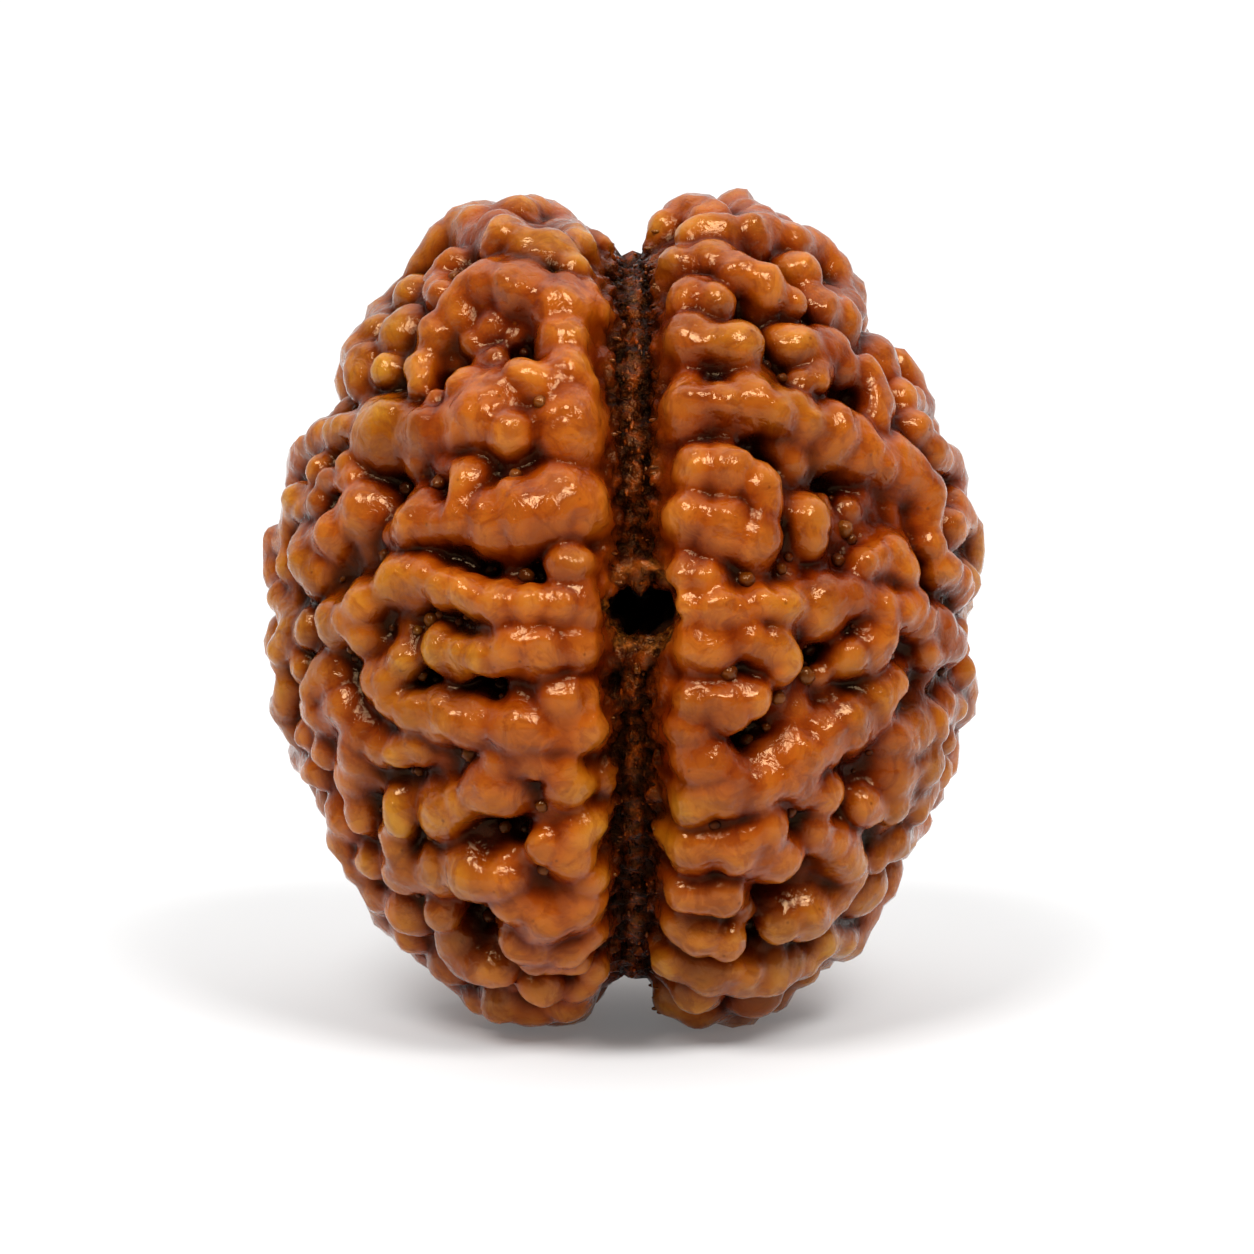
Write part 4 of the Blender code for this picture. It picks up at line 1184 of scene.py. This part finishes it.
def mix(tree, factor, first, second, blend="MIX"):
    """Mixes two colours; factor, first and second may be sockets or plain values."""
    node = tree.nodes.new("ShaderNodeMix")
    node.data_type = "RGBA"
    node.blend_type = blend
    colours = [socket for socket in node.inputs if socket.type == "RGBA"]
    for socket, value in ((node.inputs[0], factor), (colours[0], first), (colours[1], second)):
        if hasattr(value, "is_output"):
            tree.links.new(value, socket)
        elif isinstance(value, tuple):
            socket.default_value = (*value, 1.0)
        else:
            socket.default_value = value
    return [socket for socket in node.outputs if socket.type == "RGBA"][0]


def times(tree, colour, tint):
    return mix(tree, 1.0, colour, tint, "MULTIPLY")


def noise_at(tree, place, scale, detail=3.0, roughness=0.55, distortion=0.0):
    node = tree.nodes.new("ShaderNodeTexNoise")
    node.inputs["Scale"].default_value = scale
    node.inputs["Detail"].default_value = detail
    node.inputs["Roughness"].default_value = roughness
    node.inputs["Distortion"].default_value = distortion
    tree.links.new(place, node.inputs["Vector"])
    return node.outputs["Fac"]


def attribute(tree, name):
    node = tree.nodes.new("ShaderNodeAttribute")
    node.attribute_name = name
    return node.outputs["Fac"]


print("the skin carries", len(skin.data.attributes), "attributes, the noted places among them")

# %% Name the colours
HONEY = (0.40, 0.115, 0.010)
AMBER = (0.34, 0.078, 0.004)
RUSSET = (0.24, 0.042, 0.0012)
UMBER = (0.115, 0.020, 0.0008)
PITCH = (0.035, 0.008, 0.0006)
# Near black: painted shade inside the bore and in the low places of the crust.
SOOT_AND_SHADE = (0.012, 0.003, 0.0006)
STRAW = (0.36, 0.15, 0.04)
WHITE = (1.0, 1.0, 1.0)
WARM_GLOSS = (1.0, 0.66, 0.35)
CRUST_GLOSS = (1.0, 0.4, 0.12)

# The skin darkens from the ridge tops into the hollows and deeper down: partly the stone's own darker
# crevices, partly painted shade.
SKIN_TONE_AND_HOLLOW_SHADE = ((0.40, HONEY), (0.49, AMBER), (0.61, RUSSET), (0.70, UMBER), (0.79, PITCH))
SKIN_DEPTH_SHADE = (
    (0.05, WHITE), (0.35, (0.85, 0.72, 0.55)), (0.55, (0.6, 0.44, 0.35)), (0.8, (0.36, 0.22, 0.14)),
)
# The warts darken the same way into the hollows and with depth: partly their own colour, partly painted
# shade.
WART_TONE_AND_HOLLOW_SHADE = ((0.5, (0.15, 0.035, 0.0015)), (0.72, (0.08, 0.016, 0.0008)), (0.9, (0.03, 0.007, 0.0006)))
WART_DEPTH_SHADE = ((0.3, WHITE), (1.0, (0.5, 0.42, 0.4)))
# Darker in creases: painted shade.
CREASE_SHADE = ((0.41, WHITE), (0.49, (0.94, 0.8, 0.5)), (0.58, (0.68, 0.46, 0.22)), (0.68, (0.36, 0.2, 0.12)))
print(len(SKIN_TONE_AND_HOLLOW_SHADE), "shades for the skin,", len(WART_TONE_AND_HOLLOW_SHADE), "for the warts")

# %% [markdown]
# The colour is laid on in coats. The first goes by how hollow and how deep a place is and by
# creases: the crevices are partly the stone's own darker colour, and the darkening in hollows,
# with depth and in creases is painted shade. The second adds stains, each as (the noise's scale,
# detail, roughness and distortion; where it starts; where it is full; how strong; its tint), and
# small dark specks. The last puts crust, the pale ring and painted shade inside the bore over them.

# %% Coat the skin
HOLLOW_SCALE, HOLLOW_WANDER = 420.0, 0.16
STAINS = (
    ((330.0, 4.0, 0.6, 0.4), 0.44, 0.62, 0.85, (0.62, 0.43, 0.38)),
    ((210.0, 2.0), 0.5, 0.68, 0.9, (1.02, 1.6, 1.6)),
    ((1100.0, 4.0, 0.65, 1.0), 0.47, 0.6, 0.75, (0.64, 0.46, 0.44)),
)
SPECK_SCALE, SPECK_SIZE = 1400.0, 0.1


def base_coat(tree, place, shades, depth_shade_stops):
    """Colours by how hollow a place is, darker with depth and in creases: the hollows are partly the stone's
    own darker colour, and the rest of that darkening is painted shade.
    """
    hollow = tree.nodes.new("ShaderNodeMath")
    hollow.operation = "MULTIPLY_ADD"
    hollow.inputs[1].default_value = HOLLOW_WANDER
    tree.links.new(noise_at(tree, place, HOLLOW_SCALE), hollow.inputs[0])
    tree.links.new(attribute(tree, "hollow"), hollow.inputs[2])
    colour = ramp(tree, hollow.outputs["Value"], shades)
    colour = times(tree, colour, ramp(tree, attribute(tree, "depth"), depth_shade_stops))
    return times(tree, colour, ramp(tree, attribute(tree, "crease"), CREASE_SHADE))


def stained(tree, place, colour):
    for pattern, start, full, strength, tint in STAINS:
        stops = ((start, grey(0.0)), (full, grey(strength)))
        stain = ramp(tree, noise_at(tree, place, *pattern), stops)
        colour = mix(tree, stain, colour, times(tree, colour, tint))
    dots = tree.nodes.new("ShaderNodeTexVoronoi")
    dots.inputs["Scale"].default_value = SPECK_SCALE
    tree.links.new(place, dots.inputs["Vector"])
    specks = ramp(tree, dots.outputs["Distance"], ((0.0, grey(1.0)), (SPECK_SIZE, grey(0.0))))
    return mix(tree, specks, colour, UMBER)


print(len(STAINS), "stains on the skin")

# %% Coat the seam, and paint shade inside the bore
CRUST_BY_GRIT = ((0.36, (0.05, 0.025, 0.012)), (0.5, (0.36, 0.26, 0.12)), (0.66, (1.3, 0.85, 0.35)))
# The crust darkens towards its low places: partly its own colour, partly painted shade.
CRUST_TONE_AND_CREASE_SHADE = ((0.4, (0.18, 0.038, 0.003)), (0.5, (0.075, 0.015, 0.0007)), (0.6, SOOT_AND_SHADE))
RING_STOPS = ((0.2, grey(0.0)), (0.9, grey(0.55)))
# Painted shade inside the bore.
BORE_SHADE_STOPS = ((0.35, grey(0.0)), (0.9, grey(1.0)))


def crusted(tree, grit, colour):
    """Crust over a colour: rusty where it stands up, darker to near black where it is low, partly its own
    colour and partly painted shade; then painted shade inside the bore.
    """
    tint = ramp(tree, grit, CRUST_BY_GRIT)
    crust = times(tree, ramp(tree, attribute(tree, "crease"), CRUST_TONE_AND_CREASE_SHADE), tint)
    colour = mix(tree, attribute(tree, "crust"), colour, crust)
    ring = ramp(tree, attribute(tree, "ring"), RING_STOPS)
    colour = mix(tree, ring, colour, times(tree, STRAW, tint))
    # The inside of the bore is painted near black as shade.
    return mix(tree, ramp(tree, attribute(tree, "mouth"), BORE_SHADE_STOPS), colour, SOOT_AND_SHADE)


print("crust goes from soot to", CRUST_TONE_AND_CREASE_SHADE[0][1])

# %% [markdown]
# Gloss and relief come last. The oil has run off the deep places, so they shine less, and the
# bore is dull. The bumps lie on one another, from the finest noise to the grit of the crust;
# each is (the noise's scale, detail, roughness and distortion; its strength; its height in
# metres).

# %% Mix the oiled stone
BORE_ROUGHNESS = 0.8
OPEN_OIL = 0.5
CRUST_OIL = ((0.42, grey(0.4)), (0.54, grey(0.06)))
BUMPS = (
    ((6500.0, 3.0, 0.6, 0.5), 0.6, 0.00002),
    ((2600.0, 3.0, 0.5, 0.8), 0.6, 0.00007),
    ((900.0, 2.0), 0.5, 0.00014),
)
GRIT = (3200.0, 3.0, 0.7)
GRIT_STRENGTH, GRIT_HEIGHT = 0.9, 0.00016


def bump(tree, height, strength, distance, below=None):
    node = tree.nodes.new("ShaderNodeBump")
    node.inputs["Strength"].default_value = strength
    node.inputs["Distance"].default_value = distance
    tree.links.new(height, node.inputs["Height"])
    if below is not None:
        tree.links.new(below, node.inputs["Normal"])
    return node.outputs["Normal"]


def seed_stone(name, shades, depth_shade_stops, roughness, dull):
    """The oiled stone; shades are its colours from the open tops to the hollows, partly painted shade, and
    depth_shade_stops darken it with depth as painted shade.
    """
    material = bpy.data.materials.new(name)
    material.use_nodes = True
    tree = material.node_tree
    shader = tree.nodes["Principled BSDF"]
    place = tree.nodes.new("ShaderNodeTexCoord").outputs["Object"]
    grit = noise_at(tree, place, *GRIT)
    crust = attribute(tree, "crust")

    colour = stained(tree, place, base_coat(tree, place, shades, depth_shade_stops))
    tree.links.new(crusted(tree, grit, colour), shader.inputs["Base Color"])
    dullness = ramp(tree, attribute(tree, "mouth"), ((0.5, grey(roughness)), (1.0, grey(BORE_ROUGHNESS))))
    tree.links.new(dullness, shader.inputs["Roughness"])
    oil = ramp(tree, attribute(tree, "hollow"), ((0.43, grey(OPEN_OIL)), (0.58, grey(dull))))
    oil = mix(tree, crust, oil, ramp(tree, attribute(tree, "crease"), CRUST_OIL))
    tree.links.new(oil, shader.inputs["Specular IOR Level"])
    tree.links.new(mix(tree, crust, WARM_GLOSS, CRUST_GLOSS), shader.inputs["Specular Tint"])

    relief = None
    for pattern, strength, height in BUMPS:
        relief = bump(tree, noise_at(tree, place, *pattern), strength, height, relief)
    crusty = mix(tree, crust, grey(0.5), grit)
    relief = bump(tree, crusty, GRIT_STRENGTH, GRIT_HEIGHT, relief)
    tree.links.new(relief, shader.inputs["Normal"])

    shader.inputs["IOR"].default_value = 1.5
    shader.inputs["Subsurface Weight"].default_value = 0.2
    shader.inputs["Subsurface Radius"].default_value = (1.0, 0.3, 0.08)
    shader.inputs["Subsurface Scale"].default_value = 0.0006
    return material


SKIN = seed_stone("oiled seed stone", SKIN_TONE_AND_HOLLOW_SHADE, SKIN_DEPTH_SHADE, 0.08, 0.1)
WART = seed_stone("glassy wart", WART_TONE_AND_HOLLOW_SHADE, WART_DEPTH_SHADE, 0.09, 0.15)
for item, material in ((skin, SKIN), (warts, WART), (seam_crust, WART)):
    item.data.materials.clear()
    item.data.materials.append(material)
print("finished with", SKIN.name, "and", WART.name)

# %% [markdown]
# ## Table
#
# The bead stands on a table of milky plastic that glows a little from below, as makers of
# product pictures use to keep the shadows thin. One flat square is enough for it.

# %% Lay the table
TABLE_SIZE = 3.0
TABLE_DROP = 0.00001
TABLE_GREY = 0.58
TABLE_GLOW = 0.12


def make_table():
    shape = bmesh.new()
    bmesh.ops.create_grid(shape, x_segments=1, y_segments=1, size=TABLE_SIZE)
    mesh = bpy.data.meshes.new("table_top")
    shape.to_mesh(mesh)
    shape.free()
    table = new_object("table_top", mesh)
    table.location.z = -TABLE_DROP
    material = bpy.data.materials.new("pale table")
    material.use_nodes = True
    shader = material.node_tree.nodes["Principled BSDF"]
    shader.inputs["Base Color"].default_value = (*grey(TABLE_GREY), 1.0)
    shader.inputs["Emission Color"].default_value = (*WHITE, 1.0)
    shader.inputs["Emission Strength"].default_value = TABLE_GLOW
    shader.inputs["Roughness"].default_value = 0.8
    shader.inputs["Specular IOR Level"].default_value = 0.1
    mesh.materials.append(material)
    table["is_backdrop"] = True


make_table()
print("table laid,", 2.0 * TABLE_SIZE, "m wide")

# %% [markdown]
# ## Light
#
# Two soft lamps hang high in front, on the left and the right: each knob shows their two small
# reflections. A wide, weaker lamp hangs overhead. The rest of the light comes from a pale tent
# round the table, made by the world's colour: it is brighter behind the bead than in front,
# which brightens the rims.

# %% Hang the lamps
LAMP_DISTANCE = 1.6
LAMPS = (
    ("lamp_left", -31.0, 52.0, 0.58, 0.52, 19.0),
    ("lamp_right", 36.0, 51.0, 0.58, 0.52, 19.0),
    ("lamp_above", 180.0, 80.0, 2.6, 2.0, 14.0),
)


def aim(item, target):
    item.rotation_euler = (target - item.location).to_track_quat("-Z", "Y").to_euler()


def hang_lamp(name, azimuth, elevation, wide, tall, watts):
    light = bpy.data.lights.new(name, "AREA")
    light.shape = "RECTANGLE"
    light.size = wide
    light.size_y = tall
    light.energy = watts
    lamp = new_object(name, light)
    turn, up = math.radians(azimuth), math.radians(elevation)
    away = Vector((math.sin(turn) * math.cos(up), -math.cos(turn) * math.cos(up), math.sin(up)))
    lamp.location = BEAD_MIDDLE + LAMP_DISTANCE * away
    aim(lamp, BEAD_MIDDLE)


for lamp in LAMPS:
    hang_lamp(*lamp)
print(len(LAMPS), "lamps hung")

# %% Put up the tent
TENT_FRONT, TENT_BACK = 0.3, 0.85
TENT_TURN = 0.35


def make_tent():
    world = bpy.data.worlds.new("pale room")
    world.use_nodes = True
    tree = world.node_tree
    ways = tree.nodes.new("ShaderNodeSeparateXYZ")
    tree.links.new(tree.nodes.new("ShaderNodeTexCoord").outputs["Generated"], ways.inputs[0])
    glow = ramp(tree, ways.outputs["Y"], ((0.0, grey(TENT_FRONT)), (TENT_TURN, grey(TENT_BACK))))
    background = tree.nodes["Background"]
    tree.links.new(glow, background.inputs["Color"])
    background.inputs["Strength"].default_value = 1.0
    bpy.context.scene.world = world


make_tent()
bpy.context.scene.view_settings.view_transform = "Standard"
print("tent is", round(TENT_BACK / TENT_FRONT, 1), "times as bright behind as in front")

# %% [markdown]
# ## Camera
#
# The camera looks along the bead's own Y axis, from 26 cm away, so that the drawing of the face
# falls where it was drawn. The lens follows from the scale of the picture: so many pixels to
# each millimetre of the bead.

# %% Set the camera
PIXELS = 1254.0
PIXELS_PER_MM = 35.0
AIM_X, AIM_Z = 0.086, -0.486
SENSOR = 36.0


def make_camera():
    data = bpy.data.cameras.new("camera")
    data.sensor_width = SENSOR
    data.lens = EYE_DISTANCE * SENSOR / (PIXELS / PIXELS_PER_MM)
    data.clip_start = 0.01
    data.clip_end = 20.0
    camera = new_object("camera", data)
    camera.location = TO_TABLE @ Vector((0.0, -EYE_DISTANCE, 0.0))
    aim(camera, TO_TABLE @ Vector((AIM_X, 0.0, AIM_Z)))
    bpy.context.scene.camera = camera
    return camera


camera = make_camera()
print("camera lens", round(camera.data.lens, 1))
